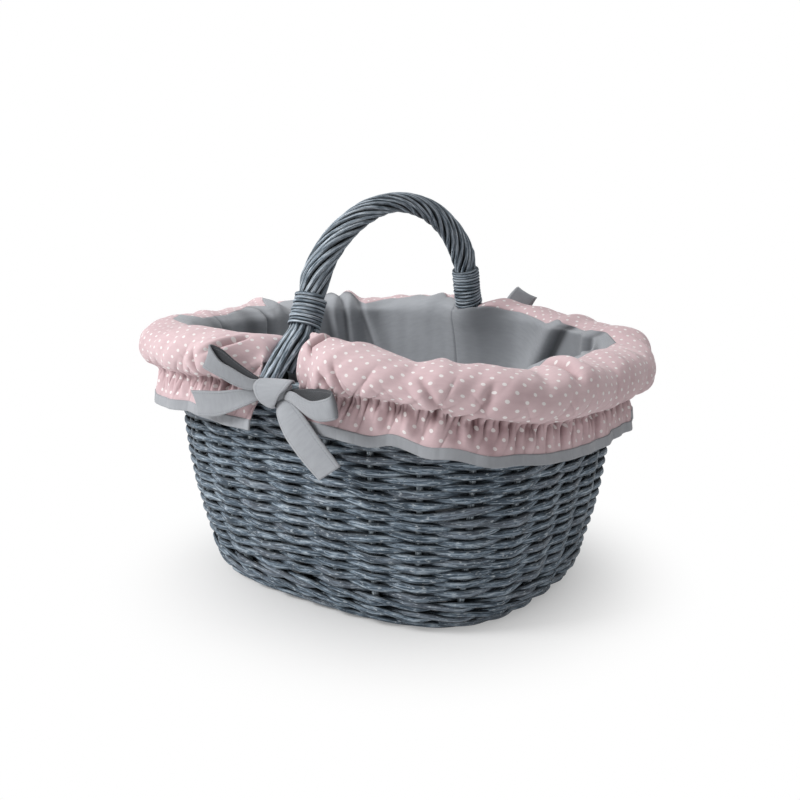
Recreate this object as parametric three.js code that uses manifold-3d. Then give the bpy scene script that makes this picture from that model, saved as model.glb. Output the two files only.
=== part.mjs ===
// Wicker shopping basket with a roped handle and a gathered cloth lining.
// Millimetres, Z up. The basket stands on Z = 0 with its middle over the origin.
// X runs along its length and Y across its width, and the handle arches in the plane X = 0.

import * as THREE from 'three';
import { mergeVertices } from 'three/addons/utils/BufferGeometryUtils.js';
import Module from 'manifold-3d';

const wasm = await Module();
wasm.setup();

// Plan and flare of the woven wall, on its outer face
const RIM_HALF_LENGTH = 203;
const RIM_HALF_WIDTH = 172.5;
const PLAN_POWER = 3; // 2 is an ellipse, more is squarer
const WALL_FLARE = 33; // how much further out the rim is than the foot
const FLARE_POWER = 2.66; // 1 leans evenly, more leans mostly near the foot
const FOOT_TUCK = 17; // the last turn under to the ground
const FOOT_TUCK_HEIGHT = 12;

// Rods of the wall
const STAKE_PLACES = 28; // two of them hold the handle instead of a stake
const STAKE_DIAMETER = 6.5;
const ROD_DIAMETER = 4.7;
const ROW_COUNT = 17;
const ROUNDS_PER_ROW = 2; // times that the rod of each row goes round the basket
const ROW_SHIFT = 10; // even number of places by which each row starts further on than the last
const ROD_TAIL = 0.3; // share of a place by which a rod's ends run on past their last stake
const WEAVE_CLEARANCE = 0.7; // between a stake and the rods that pass it
const SEAT_GAP = 0.3; // between pieces that rest on each other

// Heavy woven band at the foot, which grips the ends of the stakes
const WALE_HEIGHT = 33.4;
const WALE_ROUNDS = 4;
const WALE_BULGE = 0.8;
const WALE_GROOVE = 0.6;
const SOCKET_DEPTH = 12;

// Border of bent-over stake tops
const BORDER_SPANS = 2; // stake places that each top runs along the rim
const BORDER_SPACING = 0.6; // between a top and the next one that it climbs over
const BORDER_BEND = 0.35; // share of a place in which a top swings out past the stakes
const BORDER_TAIL = 0.05; // share of a place by which a top stops short of the last stake

// Base
const BASE_LIFT = 3; // lowest point of the base above the ground
const STICK_DIAMETER = 8;
const LONG_STICKS = 3;
const CROSS_STICKS = 4;
const LONG_STICK_SPACING = 11;
const CROSS_STICK_SPACING = 36;
const BASE_ROD_THICKNESS = 3.4;
const BASE_CLEARANCE = 0.5; // between a stick and the rods that pass it
const BASE_BULGE = 1.2; // extra rise of the rods where sticks stand close together
const BASE_ROUNDS = 5;
const BASE_ROUND_FILL = 0.86; // share of the room between rounds that the rods fill
const BASE_OPENING = 1.2; // bare part of the sticks round the bundle, counted in rounds

// Handle: points of the centre line as outward from the wall face and height above the border
const HANDLE_FOOT = [15.5, -15];
const HANDLE_ANKLE = [-14.5, 15];
const HANDLE_KNEE = [-30.5, 29.5];
const HANDLE_SHIN = [-36, 39];
const HANDLE_THIGH = [-45.5, 61];
const HANDLE_HIP = [-53.5, 80];
const HANDLE_SHOULDER = [-75, 103.5];
const HANDLE_BROW = [-115.5, 126.5];
const HANDLE_CROWN_HEIGHT = 137;
const CORE_DIAMETER = 12;
const ROPE_FOOT_DIAMETER = 26;
const ROPE_BOUND_DIAMETER = 23;
const ROPE_LEG_DIAMETER = 26;
const ROPE_CROWN_DIAMETER = 18.5;
const ROPE_STRANDS = 8;
const ROPE_GROOVE = 1.3;
const ROPE_BOUND_GROOVE = 0.4;
const ROPE_TURNS = 1.75;
const ROPE_EASE = 0.03; // share of the handle's length in which the rope narrows at a binding
const ROPE_CLEARANCE = 0.35;

// Bindings round the handle legs
const BINDING_START = 35; // height above the border
const BINDING_LENGTH = 29;
const BINDING_TURNS = 8;
const BINDING_ROD = 2.4;
const BINDING_CLEARANCE = 0.5;

// Cloth lining
const CLOTH_THICKNESS = 1.5;
const CUFF_THICKNESS = 2;
const LINING_CLEARANCE = 1.6;
const LINING_TOP_DROP = 9.5; // lining's upper seam below the border's top

// Gathered cuff over the rim, each point as outward from the wall face and height above the border
const CUFF_INNER_RISE = [-19, 12];
const CUFF_INNER_CREST = [-11, 25];
const CUFF_CREST = [6, 29];
const CUFF_SHOULDER = [27, 23];
const CUFF_WIDEST = [35, 9];
const CUFF_UNDER = [31, -6];
const CUFF_GATHER = [20, -16];
const CUFF_EDGE = [24, -35];
const CUFF_DROOP = 18; // how much lower the cuff hangs at the +X end
const CUFF_DROOP_POWER = 4;
const CUFF_FOLD_DEPTH = 1.6;
const CUFF_COLUMNS = 30;
const SLIT_CREST = 17; // from the handle's middle to the cloth at the crest
const SLIT_CLOSE_SIDE = 18; // the same at the hem, on the side that hangs straight
const SLIT_OPEN_SIDE = 38; // and on the side that hangs open
const HEM_HEIGHT = 9;
const HEM_THICKNESS = 3.2;

// Elastic in the gather of each cuff
const ELASTIC_WIDTH = 6;
const ELASTIC_THICKNESS = 1.2;

// Ribbon bows at the handle's feet
const RIBBON_WIDTH = 21;
const RIBBON_THICKNESS = 1.6;
const GATHERED_RIBBON_WIDTH = 10;
const KNOT_LENGTH = 27;
const KNOT_HEIGHT = 23;
const KNOT_DEPTH = 15;
const BOW_STANDOFF = 30; // knot's middle outward from the wall face
const BOW_LOOP_STANDOFF = 45;
const BOW_TAIL_STANDOFF = 33;
const LOOP_DEPTH = 6;
const HIGH_LOOP = [-60, 24]; // ends of the loops and tails from the knot: sideways and up
const LOW_LOOP = [56, -12];
const LONG_TAIL = [50, -72];
const SHORT_TAIL = [-66, -14];

const WILLOW = { color: 0x7b848c, roughness: 0.7, metalness: 0 };
const WILLOW_DARK = { color: 0x636b73, roughness: 0.75, metalness: 0 };
const GREY_COTTON = { color: 0x7c7f86, roughness: 0.9, metalness: 0 };
const PINK_COTTON = { color: 0xd8b4b4, roughness: 0.9, metalness: 0 };
const GREY_RIBBON = { color: 0xa0a3a8, roughness: 0.85, metalness: 0 };
const ELASTIC = { color: 0xd9d8d4, roughness: 0.9, metalness: 0 };

// How finely the round pieces are faceted
const ROD_SIDES = 4;
const UPRIGHT_POINTS = 5;
const CORE_SIDES = 7;
const CORE_STEPS = 14;
const ROPE_STEPS = 16; // between the bindings
const BINDING_SIDES = 4;
const BINDING_STEPS = 10; // in each turn
const LOOP_STEPS = 7;

// Sizes that follow from those above
const stakeRadius = STAKE_DIAMETER / 2;
const rodRadius = ROD_DIAMETER / 2;
const roundPitch = ROD_DIAMETER + SEAT_GAP;
const wallTop = WALE_HEIGHT + ROW_COUNT * ROUNDS_PER_ROW * roundPitch;
const stakeLine = -(ROD_DIAMETER + WEAVE_CLEARANCE + stakeRadius);
const wallThickness = 2 * -stakeLine;
const borderStart = wallTop + SEAT_GAP + stakeRadius;
const borderRise = STAKE_DIAMETER + BORDER_SPACING;
const borderTop = borderStart + BORDER_SPANS * borderRise + stakeRadius;
const stickRadius = STICK_DIAMETER / 2;
const baseMiddle = BASE_LIFT + BASE_BULGE + BASE_ROD_THICKNESS + BASE_CLEARANCE + stickRadius;
const baseTop = 2 * baseMiddle - BASE_LIFT;
const liningTop = borderTop - LINING_TOP_DROP;
const handlePlaces = [STAKE_PLACES / 4, (3 * STAKE_PLACES) / 4];
const up = new THREE.Vector3(0, 0, 1);
const lengthwise = new THREE.Vector3(1, 0, 0);

// How far the wall's outer face lies inside the rim's outline at a height.
function wallInset(z) {
  const drop = Math.max(0, 1 - z / borderTop);
  const tuck = Math.max(0, 1 - z / FOOT_TUCK_HEIGHT);
  return WALL_FLARE * drop ** FLARE_POWER + FOOT_TUCK * tuck ** 2;
}

// Point of the wall's outline in a direction from the middle, moved square to the wall.
function onWall(angle, z, outward = 0, inset = wallInset(z)) {
  const halfLength = RIM_HALF_LENGTH - inset;
  const halfWidth = RIM_HALF_WIDTH - inset;
  const c = Math.cos(angle);
  const s = Math.sin(angle);
  const size = Math.abs(c / halfLength) ** PLAN_POWER + Math.abs(s / halfWidth) ** PLAN_POWER;
  const reach = size ** (-1 / PLAN_POWER);
  const x = reach * c;
  const y = reach * s;
  const slopeX = (Math.sign(x) * Math.abs(x / halfLength) ** (PLAN_POWER - 1)) / halfLength;
  const slopeY = (Math.sign(y) * Math.abs(y / halfWidth) ** (PLAN_POWER - 1)) / halfWidth;
  const normal = new THREE.Vector3(slopeX, slopeY, 0).normalize();
  return new THREE.Vector3(x, y, z).addScaledVector(normal, outward);
}

function wallNormal(angle) {
  return onWall(angle, borderTop, 1).sub(onWall(angle, borderTop)).normalize();
}

// Stake places are spaced evenly along the middle of the wall, counted from the +X end.
const placeTable = (() => {
  const samples = 100 * STAKE_PLACES;
  const lengths = [0];
  let last = onWall(0, wallTop / 2, stakeLine);
  for (let i = 1; i <= samples; i += 1) {
    const next = onWall((i / samples) * 2 * Math.PI, wallTop / 2, stakeLine);
    lengths.push(lengths[i - 1] + next.distanceTo(last));
    last = next;
  }
  return { samples, lengths, total: lengths[samples] };
})();
const placeSpacing = placeTable.total / STAKE_PLACES;

function placeAngle(place) {
  const turns = Math.floor(place / STAKE_PLACES);
  const target = (place - turns * STAKE_PLACES) * placeSpacing;
  let i = 1;
  while (i < placeTable.samples && placeTable.lengths[i] < target) i += 1;
  const before = placeTable.lengths[i - 1];
  const share = (target - before) / (placeTable.lengths[i] - before);
  return 2 * Math.PI * (turns + (i - 1 + share) / placeTable.samples);
}

function anglePlace(angle) {
  const position = (angle / (2 * Math.PI)) * placeTable.samples;
  const turns = Math.floor(position / placeTable.samples);
  const within = position - turns * placeTable.samples;
  const i = Math.floor(within);
  const next = placeTable.lengths[Math.min(i + 1, placeTable.samples)];
  const length = THREE.MathUtils.lerp(placeTable.lengths[i], next, within - i);
  return turns * STAKE_PLACES + length / placeSpacing;
}

// Closed body from points and triangles, with its faces turned outward.
function body(points, faces) {
  let volume = 0;
  for (const [a, b, c] of faces) {
    volume += points[a].dot(new THREE.Vector3().crossVectors(points[b], points[c]));
  }
  const index = faces.flatMap(([a, b, c]) => (volume < 0 ? [a, c, b] : [a, b, c]));
  const geometry = new THREE.BufferGeometry();
  geometry.setAttribute('position', new THREE.Float32BufferAttribute(
    points.flatMap((point) => point.toArray()), 3));
  geometry.setIndex(index);
  return geometry;
}

// Skin over a row of rings with equal numbers of points, either joined end to end or capped.
function loft(rings, joined = false) {
  const sides = rings[0].length;
  const points = rings.flat();
  const faces = [];
  const spans = joined ? rings.length : rings.length - 1;
  for (let r = 0; r < spans; r += 1) {
    const here = r * sides;
    const there = ((r + 1) % rings.length) * sides;
    for (let k = 0; k < sides; k += 1) {
      const next = (k + 1) % sides;
      faces.push([here + k, here + next, there + next], [here + k, there + next, there + k]);
    }
  }
  if (!joined) {
    for (const [ring, flip] of [[0, true], [rings.length - 1, false]]) {
      const middle = new THREE.Vector3();
      rings[ring].forEach((point) => middle.addScaledVector(point, 1 / sides));
      points.push(middle);
      for (let k = 0; k < sides; k += 1) {
        const a = ring * sides + k;
        const b = ring * sides + ((k + 1) % sides);
        faces.push(flip ? [b, a, points.length - 1] : [a, b, points.length - 1]);
      }
    }
  }
  return body(points, faces);
}

// Sheet with thickness from two grids of points, one for each face.
function sheet(front, back) {
  const columns = front.length;
  const rows = front[0].length;
  const points = [...front.flat(), ...back.flat()];
  const at = (face, column, row) => face * columns * rows + column * rows + row;
  const faces = [];
  const quad = (a, b, c, d) => faces.push([a, b, c], [a, c, d]);
  for (let i = 0; i < columns - 1; i += 1) {
    for (let j = 0; j < rows - 1; j += 1) {
      quad(at(0, i, j), at(0, i + 1, j), at(0, i + 1, j + 1), at(0, i, j + 1));
      quad(at(1, i, j + 1), at(1, i + 1, j + 1), at(1, i + 1, j), at(1, i, j));
    }
    quad(at(1, i, 0), at(1, i + 1, 0), at(0, i + 1, 0), at(0, i, 0));
    quad(at(0, i, rows - 1), at(0, i + 1, rows - 1), at(1, i + 1, rows - 1), at(1, i, rows - 1));
  }
  for (let j = 0; j < rows - 1; j += 1) {
    quad(at(0, 0, j), at(0, 0, j + 1), at(1, 0, j + 1), at(1, 0, j));
    const last = columns - 1;
    quad(at(1, last, j), at(1, last, j + 1), at(0, last, j + 1), at(0, last, j));
  }
  return body(points, faces);
}

// Direction of a path at one of its points, halfway between its two stretches.
function pathDirection(path, i) {
  const before = path[Math.max(0, i - 1)];
  const after = path[Math.min(path.length - 1, i + 1)];
  return after.clone().sub(before).normalize();
}

// Rings square to a path. section(i) gives each ring's points as sideways and crossways
// distances, where sideways is measured towards side(i).
function ringsAlong(path, side, section) {
  return path.map((point, i) => {
    const along = pathDirection(path, i);
    const sideways = side(i).clone().addScaledVector(along, -side(i).dot(along)).normalize();
    const crossways = new THREE.Vector3().crossVectors(along, sideways);
    return section(i).map(([a, b]) => point.clone()
      .addScaledVector(sideways, a).addScaledVector(crossways, b));
  });
}

// The first of a round section's corners faces sideways.
function roundSection(radius, sides) {
  return Array.from({ length: sides }, (_, k) => {
    const turn = (k / sides) * 2 * Math.PI;
    return [radius * Math.cos(turn), radius * Math.sin(turn)];
  });
}

function toSolid(geometry) {
  const merged = mergeVertices(geometry.clone(), 1e-5);
  return new wasm.Manifold(new wasm.Mesh({
    numProp: 3,
    vertProperties: new Float32Array(merged.attributes.position.array),
    triVerts: new Uint32Array(merged.index.array),
  }));
}

function toGeometry(solid) {
  const mesh = solid.getMesh();
  const geometry = new THREE.BufferGeometry();
  geometry.setAttribute('position', new THREE.Float32BufferAttribute(mesh.vertProperties, 3));
  geometry.setIndex(Array.from(mesh.triVerts));
  return geometry;
}

const basket = new THREE.Group();

function addPiece(name, geometry, finish) {
  const shaded = geometry.toNonIndexed();
  shaded.computeVertexNormals();
  const piece = new THREE.Mesh(shaded, new THREE.MeshStandardMaterial(finish));
  piece.name = name;
  basket.add(piece);
}

// Inner face of the foot band, moved inward.
function insideFoot(angle, z, inward) {
  const foot = onWall(angle, 0, -wallThickness - inward);
  return foot.lerp(onWall(angle, WALE_HEIGHT, -wallThickness - inward), z / WALE_HEIGHT);
}

// End of one arm of the base, cut square and touching the foot band at the arm's lower edge.
function armEnd(start, place, lowest, halfWidth) {
  const angle = placeAngle(place);
  const face = insideFoot(angle, lowest, 0);
  const slant = Math.sin(face.clone().sub(start).setZ(0).angleTo(wallNormal(angle)));
  return insideFoot(angle, lowest, SEAT_GAP + halfWidth * slant).setZ(start.z);
}

const bundleHalfLength = ((CROSS_STICKS - 1) / 2) * CROSS_STICK_SPACING + STICK_DIAMETER;
const bundleHalfWidth = ((LONG_STICKS - 1) / 2) * LONG_STICK_SPACING + STICK_DIAMETER;

// Base: long sticks pushed through slits in the cross sticks, their ends opened out like a fan
// to every second stake place. A stick has two arms, from the bundle out to the foot band.
const stickArms = (() => {
  const arms = [];
  const longSide = (LONG_STICKS - 1) / 2;
  for (let k = -longSide; k <= longSide; k += 1) {
    const y = k * LONG_STICK_SPACING;
    const near = new THREE.Vector3(bundleHalfLength, y, baseMiddle);
    const far = new THREE.Vector3(-bundleHalfLength, y, baseMiddle);
    arms.push({ stick: `long${k}`, place: 2 * k, start: near });
    arms.push({ stick: `long${k}`, place: STAKE_PLACES / 2 - 2 * k, start: far });
  }
  const crossSide = (CROSS_STICKS - 1) / 2;
  for (let k = -crossSide; k <= crossSide; k += 1) {
    const x = k * CROSS_STICK_SPACING;
    const far = new THREE.Vector3(x, bundleHalfWidth, baseMiddle);
    const near = new THREE.Vector3(x, -bundleHalfWidth, baseMiddle);
    arms.push({ stick: `cross${k}`, place: STAKE_PLACES / 4 - 2 * k, start: far });
    arms.push({ stick: `cross${k}`, place: (3 * STAKE_PLACES) / 4 + 2 * k, start: near });
  }
  arms.forEach((arm) => {
    arm.place = (arm.place + STAKE_PLACES) % STAKE_PLACES;
    arm.end = armEnd(arm.start, arm.place, baseMiddle - stickRadius, stickRadius);
    arm.weaveEnd = armEnd(arm.start, arm.place, BASE_LIFT, 0);
  });
  return arms.sort((a, b) => a.place - b.place);
})();

function baseSticks() {
  let joined = null;
  for (const name of new Set(stickArms.map((arm) => arm.stick))) {
    const [first, second] = stickArms.filter((arm) => arm.stick === name);
    const path = [first.end, first.start, second.start, second.end];
    const rings = ringsAlong(path, () => up, () => roundSection(stickRadius, 5));
    const solid = toSolid(loft(rings));
    joined = joined ? joined.add(solid) : solid;
  }
  return toGeometry(joined);
}

// One strand spirals outward over and under the sticks. With an even number of sticks it
// passes two alike once in each round, so that neighbouring rounds alternate.
function baseWeave() {
  const crossings = stickArms.length;
  const rounds = BASE_OPENING + BASE_ROUNDS + 0.5;
  const middles = Array.from({ length: BASE_ROUNDS * crossings }, (_, m) => {
    const arm = stickArms[m % crossings];
    return arm.start.clone().lerp(arm.weaveEnd, (BASE_OPENING + m / crossings) / rounds);
  });
  const rings = middles.map((middle, m) => {
    const arm = stickArms[m % crossings];
    const outward = arm.weaveEnd.clone().sub(arm.start);
    const across = outward.multiplyScalar(BASE_ROUND_FILL / rounds / 2);
    const neighbours = [middles[m - 1], middles[m + 1]].filter(Boolean);
    const nearest = Math.min(...neighbours.map((other) => other.distanceTo(middle)));
    const slope = Math.atan((2 * stickRadius + 2 * BASE_ROD_THICKNESS) / nearest);
    const lift = (stickRadius + BASE_CLEARANCE) / Math.cos(slope) + BASE_ROD_THICKNESS / 2;
    const over = (m + Math.floor(m / crossings)) % 2 === 0;
    return [[1, 1], [-1, 1], [-1, -1], [1, -1]].map(([side, face]) => middle.clone()
      .addScaledVector(across, side)
      .addScaledVector(up, (over ? lift : -lift) + (face * BASE_ROD_THICKNESS) / 2));
  });
  return loft(rings);
}

// Foot band with a socket for every stake and for both ends of the handle's core.
function footBand() {
  const roundHeight = WALE_HEIGHT / WALE_ROUNDS;
  const profile = [[-WALE_BULGE, 0]];
  for (let k = 0; k < WALE_ROUNDS; k += 1) {
    profile.push([WALE_BULGE, (k + 0.5) * roundHeight]);
    profile.push([-WALE_GROOVE, (k + 1) * roundHeight]);
  }
  profile.push([-wallThickness, WALE_HEIGHT], [-wallThickness, 0]);
  const rings = Array.from({ length: STAKE_PLACES }, (_, place) =>
    profile.map(([outward, z]) => onWall(placeAngle(place), z, outward)));
  let band = toSolid(loft(rings, true));
  const flat = Math.cos(Math.PI / ROD_SIDES);
  for (let place = 0; place < STAKE_PLACES; place += 1) {
    const angle = placeAngle(place);
    const holdsCore = handlePlaces.includes(place);
    const socketRadius = ((holdsCore ? stakeRadius : stakeRadius * flat) + SEAT_GAP) / flat;
    const path = [WALE_HEIGHT - SOCKET_DEPTH - SEAT_GAP, WALE_HEIGHT + SOCKET_DEPTH]
      .map((z) => onWall(angle, z, stakeLine));
    const section = roundSection(socketRadius, ROD_SIDES);
    band = band.subtract(toSolid(loft(ringsAlong(path, () => wallNormal(angle), () => section))));
  }
  return toGeometry(band);
}

// Upright part of a stake or of the handle's core, from its socket to above the last row. Its
// points lie closer together near the foot, where the wall curves most.
function uprightPath(place) {
  const angle = placeAngle(place);
  return Array.from({ length: UPRIGHT_POINTS }, (_, i) => {
    const share = (i / (UPRIGHT_POINTS - 1)) ** 1.4;
    const z = THREE.MathUtils.lerp(WALE_HEIGHT - SOCKET_DEPTH, wallTop + SEAT_GAP, share);
    return onWall(angle, z, stakeLine);
  });
}

// A stake bends at the rim, lies outside the next stakes and climbs over their bent tops.
function stake(place) {
  const path = uprightPath(place);
  const outwards = path.map(() => wallNormal(placeAngle(place)));
  const sidestep = STAKE_DIAMETER + SEAT_GAP;
  const steps = [BORDER_BEND / 4, BORDER_BEND];
  for (let span = 1; span < BORDER_SPANS; span += 0.5) steps.push(span);
  steps.push(BORDER_SPANS - BORDER_TAIL);
  for (const step of steps) {
    const angle = placeAngle(place + step);
    const outward = stakeLine + sidestep * Math.min(1, step / BORDER_BEND);
    path.push(onWall(angle, borderStart + step * borderRise, outward, 0));
    outwards.push(wallNormal(angle));
  }
  return loft(ringsAlong(path, (i) => outwards[i], () => roundSection(stakeRadius, ROD_SIDES)));
}

// Half the turn of the wall between a place and its neighbours.
function halfTurn(place) {
  const here = wallNormal(placeAngle(place));
  const before = here.angleTo(wallNormal(placeAngle(place - 1)));
  const after = here.angleTo(wallNormal(placeAngle(place + 1)));
  return Math.max(before, after) / 2;
}

// A row is one rod that goes in front of a stake and behind the next. With an even number of
// stakes it passes two in front at the end of each round, so that its rounds alternate, and both
// of its ends are tucked in behind a stake.
function row(number) {
  const start = 1 + number * ROW_SHIFT;
  const last = ROUNDS_PER_ROW * STAKE_PLACES - 1;
  const steps = [-ROD_TAIL, ...Array.from({ length: last + 1 }, (_, i) => i), last + ROD_TAIL];
  const rings = steps.map((step) => {
    const place = start + THREE.MathUtils.clamp(Math.round(step), 0, last);
    const round = Math.floor((place - start) / STAKE_PLACES) + number * ROUNDS_PER_ROW;
    const middle = WALE_HEIGHT + SEAT_GAP + rodRadius + round * roundPitch;
    const spacing = onWall(placeAngle(place), middle, stakeLine)
      .distanceTo(onWall(placeAngle(place + 1), middle, stakeLine));
    const lean = Math.atan((2 * (stakeRadius + WEAVE_CLEARANCE + rodRadius)) / spacing);
    const outside = (place + round) % 2 === 0;
    const slope = outside ? lean + halfTurn(place) : Math.max(0, lean - halfTurn(place));
    const sway = (stakeRadius + WEAVE_CLEARANCE) / Math.cos(slope) + rodRadius;
    const line = stakeLine + (outside ? sway : -sway);
    return roundSection(rodRadius, ROD_SIDES).map(([depth, rise]) =>
      onWall(placeAngle(start + step), middle + rise, line + depth));
  });
  return loft(rings);
}

// Handle centre line from the -Y foot over the crown to the +Y foot.
const handleLine = (() => {
  const leg = [HANDLE_FOOT, HANDLE_ANKLE, HANDLE_KNEE, HANDLE_SHIN, HANDLE_THIGH, HANDLE_HIP,
    HANDLE_SHOULDER, HANDLE_BROW];
  const point = ([outward, height], side) =>
    new THREE.Vector3(0, side * (RIM_HALF_WIDTH + outward), borderTop + height);
  return new THREE.CatmullRomCurve3([
    ...leg.map((place) => point(place, -1)),
    point([-RIM_HALF_WIDTH, HANDLE_CROWN_HEIGHT], 1),
    ...leg.map((place) => point(place, 1)).reverse(),
  ], false, 'centripetal');
})();

// Share of the handle line at which it first reaches a height above the border.
function handleShare(height) {
  let low = 0;
  let high = 0.5;
  for (let i = 0; i < 40; i += 1) {
    const middle = (low + high) / 2;
    if (handleLine.getPointAt(middle).z < borderTop + height) low = middle;
    else high = middle;
  }
  return low;
}

const bindingStart = handleShare(BINDING_START);
const bindingEnd = bindingStart + BINDING_LENGTH / handleLine.getLength();

// The core's sliced ends go down into the wall in place of two stakes.
function handleCore(extra) {
  const thin = stakeRadius + extra;
  const thick = CORE_DIAMETER / 2 + extra;
  const nearEnd = uprightPath(handlePlaces[1]);
  nearEnd.push(onWall(placeAngle(handlePlaces[1]), borderTop + SEAT_GAP, stakeLine, 0));
  const farEnd = uprightPath(handlePlaces[0]);
  farEnd.push(onWall(placeAngle(handlePlaces[0]), borderTop + SEAT_GAP, stakeLine, 0));
  const start = handleShare(HANDLE_ANKLE[1]);
  const arch = Array.from({ length: CORE_STEPS + 1 }, (_, i) =>
    handleLine.getPointAt(THREE.MathUtils.lerp(start, 1 - start, i / CORE_STEPS)));
  const path = [...nearEnd, ...arch, ...farEnd.reverse()];
  const radius = (i) => {
    const fromEnd = Math.min(i, path.length - 1 - i) - (nearEnd.length - 1);
    return THREE.MathUtils.lerp(thin, thick, THREE.MathUtils.clamp(fromEnd / 2, 0, 1));
  };
  return loft(ringsAlong(path, () => lengthwise, (i) => roundSection(radius(i), CORE_SIDES)));
}

function ropeDiameter(share) {
  const fromEnd = Math.min(share, 1 - share);
  const stops = [
    [0, ROPE_FOOT_DIAMETER],
    [bindingStart - ROPE_EASE, ROPE_FOOT_DIAMETER],
    [bindingStart - ROPE_EASE / 8, ROPE_BOUND_DIAMETER],
    [bindingEnd + ROPE_EASE / 8, ROPE_BOUND_DIAMETER],
    [bindingEnd + ROPE_EASE, ROPE_LEG_DIAMETER],
    [0.5, ROPE_CROWN_DIAMETER],
  ];
  let i = 1;
  while (i < stops.length - 1 && stops[i][0] < fromEnd) i += 1;
  const [s0, d0] = stops[i - 1];
  const [s1, d1] = stops[i];
  return THREE.MathUtils.mapLinear(THREE.MathUtils.clamp(fromEnd, s0, s1), s0, s1, d0, d1);
}

// Rods twisted round the core, straight and pressed round under the bindings, cut off level
// where they rest on the border.
function handleRope() {
  const above = bindingEnd + ROPE_EASE;
  const below = bindingStart - ROPE_EASE;
  const leg = [0, below / 2, below, bindingStart - ROPE_EASE / 8, bindingEnd + ROPE_EASE / 8];
  const shares = [...leg, ...Array.from({ length: ROPE_STEPS + 1 },
    (_, i) => THREE.MathUtils.lerp(above, 1 - above, i / ROPE_STEPS))];
  shares.push(...leg.map((share) => 1 - share).reverse());
  const path = shares.map((share) => handleLine.getPointAt(share));
  const section = (i) => {
    const share = shares[i];
    const bound = Math.min(share, 1 - share) < bindingEnd + ROPE_EASE / 2;
    const twistShare = THREE.MathUtils.mapLinear(
      THREE.MathUtils.clamp(share, bindingEnd, 1 - bindingEnd), bindingEnd, 1 - bindingEnd, 0, 1);
    const twist = twistShare * ROPE_TURNS * 2 * Math.PI;
    const radius = ropeDiameter(share) / 2;
    const points = 2 * ROPE_STRANDS;
    return Array.from({ length: points }, (_, k) => {
      const turn = (k / points) * 2 * Math.PI + twist;
      const groove = k % 2 === 1 ? (bound ? ROPE_BOUND_GROOVE : ROPE_GROOVE) : 0;
      return [(radius - groove) * Math.cos(turn), (radius - groove) * Math.sin(turn)];
    });
  };
  const rope = toSolid(loft(ringsAlong(path, () => lengthwise, section)));
  const wall = new THREE.BoxGeometry(2 * RIM_HALF_LENGTH, 4 * RIM_HALF_WIDTH, borderTop);
  wall.translate(0, 0, borderTop / 2 + SEAT_GAP);
  wall.deleteAttribute('normal');
  wall.deleteAttribute('uv');
  return toGeometry(rope.subtract(toSolid(wall)).subtract(toSolid(handleCore(ROPE_CLEARANCE))));
}

// A thin willow rod wound round a handle leg, as one unbroken helix.
function binding(side) {
  const steps = BINDING_TURNS * BINDING_STEPS;
  const helixRadius = (ROPE_BOUND_DIAMETER + BINDING_ROD) / 2 / Math.cos(Math.PI / BINDING_STEPS)
    + BINDING_CLEARANCE;
  const path = [];
  const spokes = [];
  for (let i = 0; i <= steps; i += 1) {
    const share = THREE.MathUtils.lerp(bindingStart, bindingEnd, i / steps);
    const from = side < 0 ? share : 1 - share;
    const along = handleLine.getTangentAt(from).multiplyScalar(-side);
    const crossways = new THREE.Vector3().crossVectors(along, lengthwise);
    const turn = (i / BINDING_STEPS) * 2 * Math.PI;
    const spoke = lengthwise.clone().multiplyScalar(Math.cos(turn))
      .addScaledVector(crossways, Math.sin(turn));
    spokes.push(spoke);
    path.push(handleLine.getPointAt(from).addScaledVector(spoke, helixRadius));
  }
  let least = Infinity;
  for (let i = 0; i <= steps; i += 1) {
    for (let j = i + BINDING_STEPS / 2; j <= steps; j += 1) {
      least = Math.min(least, path[i].distanceTo(path[j]) - BINDING_ROD);
    }
  }
  console.log(`least gap between turns of a binding: ${least.toFixed(2)} mm`);
  return loft(ringsAlong(path, (i) => spokes[i], () => roundSection(BINDING_ROD / 2, BINDING_SIDES)));
}

// Lining bag: a sewn pot of cloth that lies on the base and stands against the wall.
function liningBag() {
  const places = Array.from({ length: STAKE_PLACES }, (_, place) => placeAngle(place));
  const outer = -(wallThickness + LINING_CLEARANCE);
  const floor = baseTop + SEAT_GAP;
  const heights = [WALE_HEIGHT, wallTop / 2, liningTop];
  const side = (z, outward) => places.map((angle) => onWall(angle, z, outward));
  const corner = (z, inward) => places.map((angle) => insideFoot(angle, z, inward));
  return loft([
    corner(floor + CLOTH_THICKNESS, LINING_CLEARANCE + CLOTH_THICKNESS),
    ...heights.map((z) => side(z, outer - CLOTH_THICKNESS)),
    ...heights.map((z) => side(z, outer)).reverse(),
    corner(floor, LINING_CLEARANCE),
  ]);
}

const cuffLine = [[-(wallThickness + LINING_CLEARANCE + CLOTH_THICKNESS / 2),
  SEAT_GAP - LINING_TOP_DROP], CUFF_INNER_RISE, CUFF_INNER_CREST, CUFF_CREST, CUFF_SHOULDER,
CUFF_WIDEST, CUFF_UNDER, CUFF_GATHER, CUFF_EDGE];
const cuffGatherRow = cuffLine.indexOf(CUFF_GATHER);
const cuffEdgeRow = cuffLine.indexOf(CUFF_EDGE);
const cuffColumns = Array.from({ length: CUFF_COLUMNS }, (_, column) => column);
const inwardColumns = cuffColumns.filter((column) => column === 0 || column % 2 === 1);

// Height that the cuff loses towards the +X end.
function cuffDroop(point) {
  return CUFF_DROOP * Math.max(0, point.x / RIM_HALF_LENGTH) ** CUFF_DROOP_POWER;
}

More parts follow.
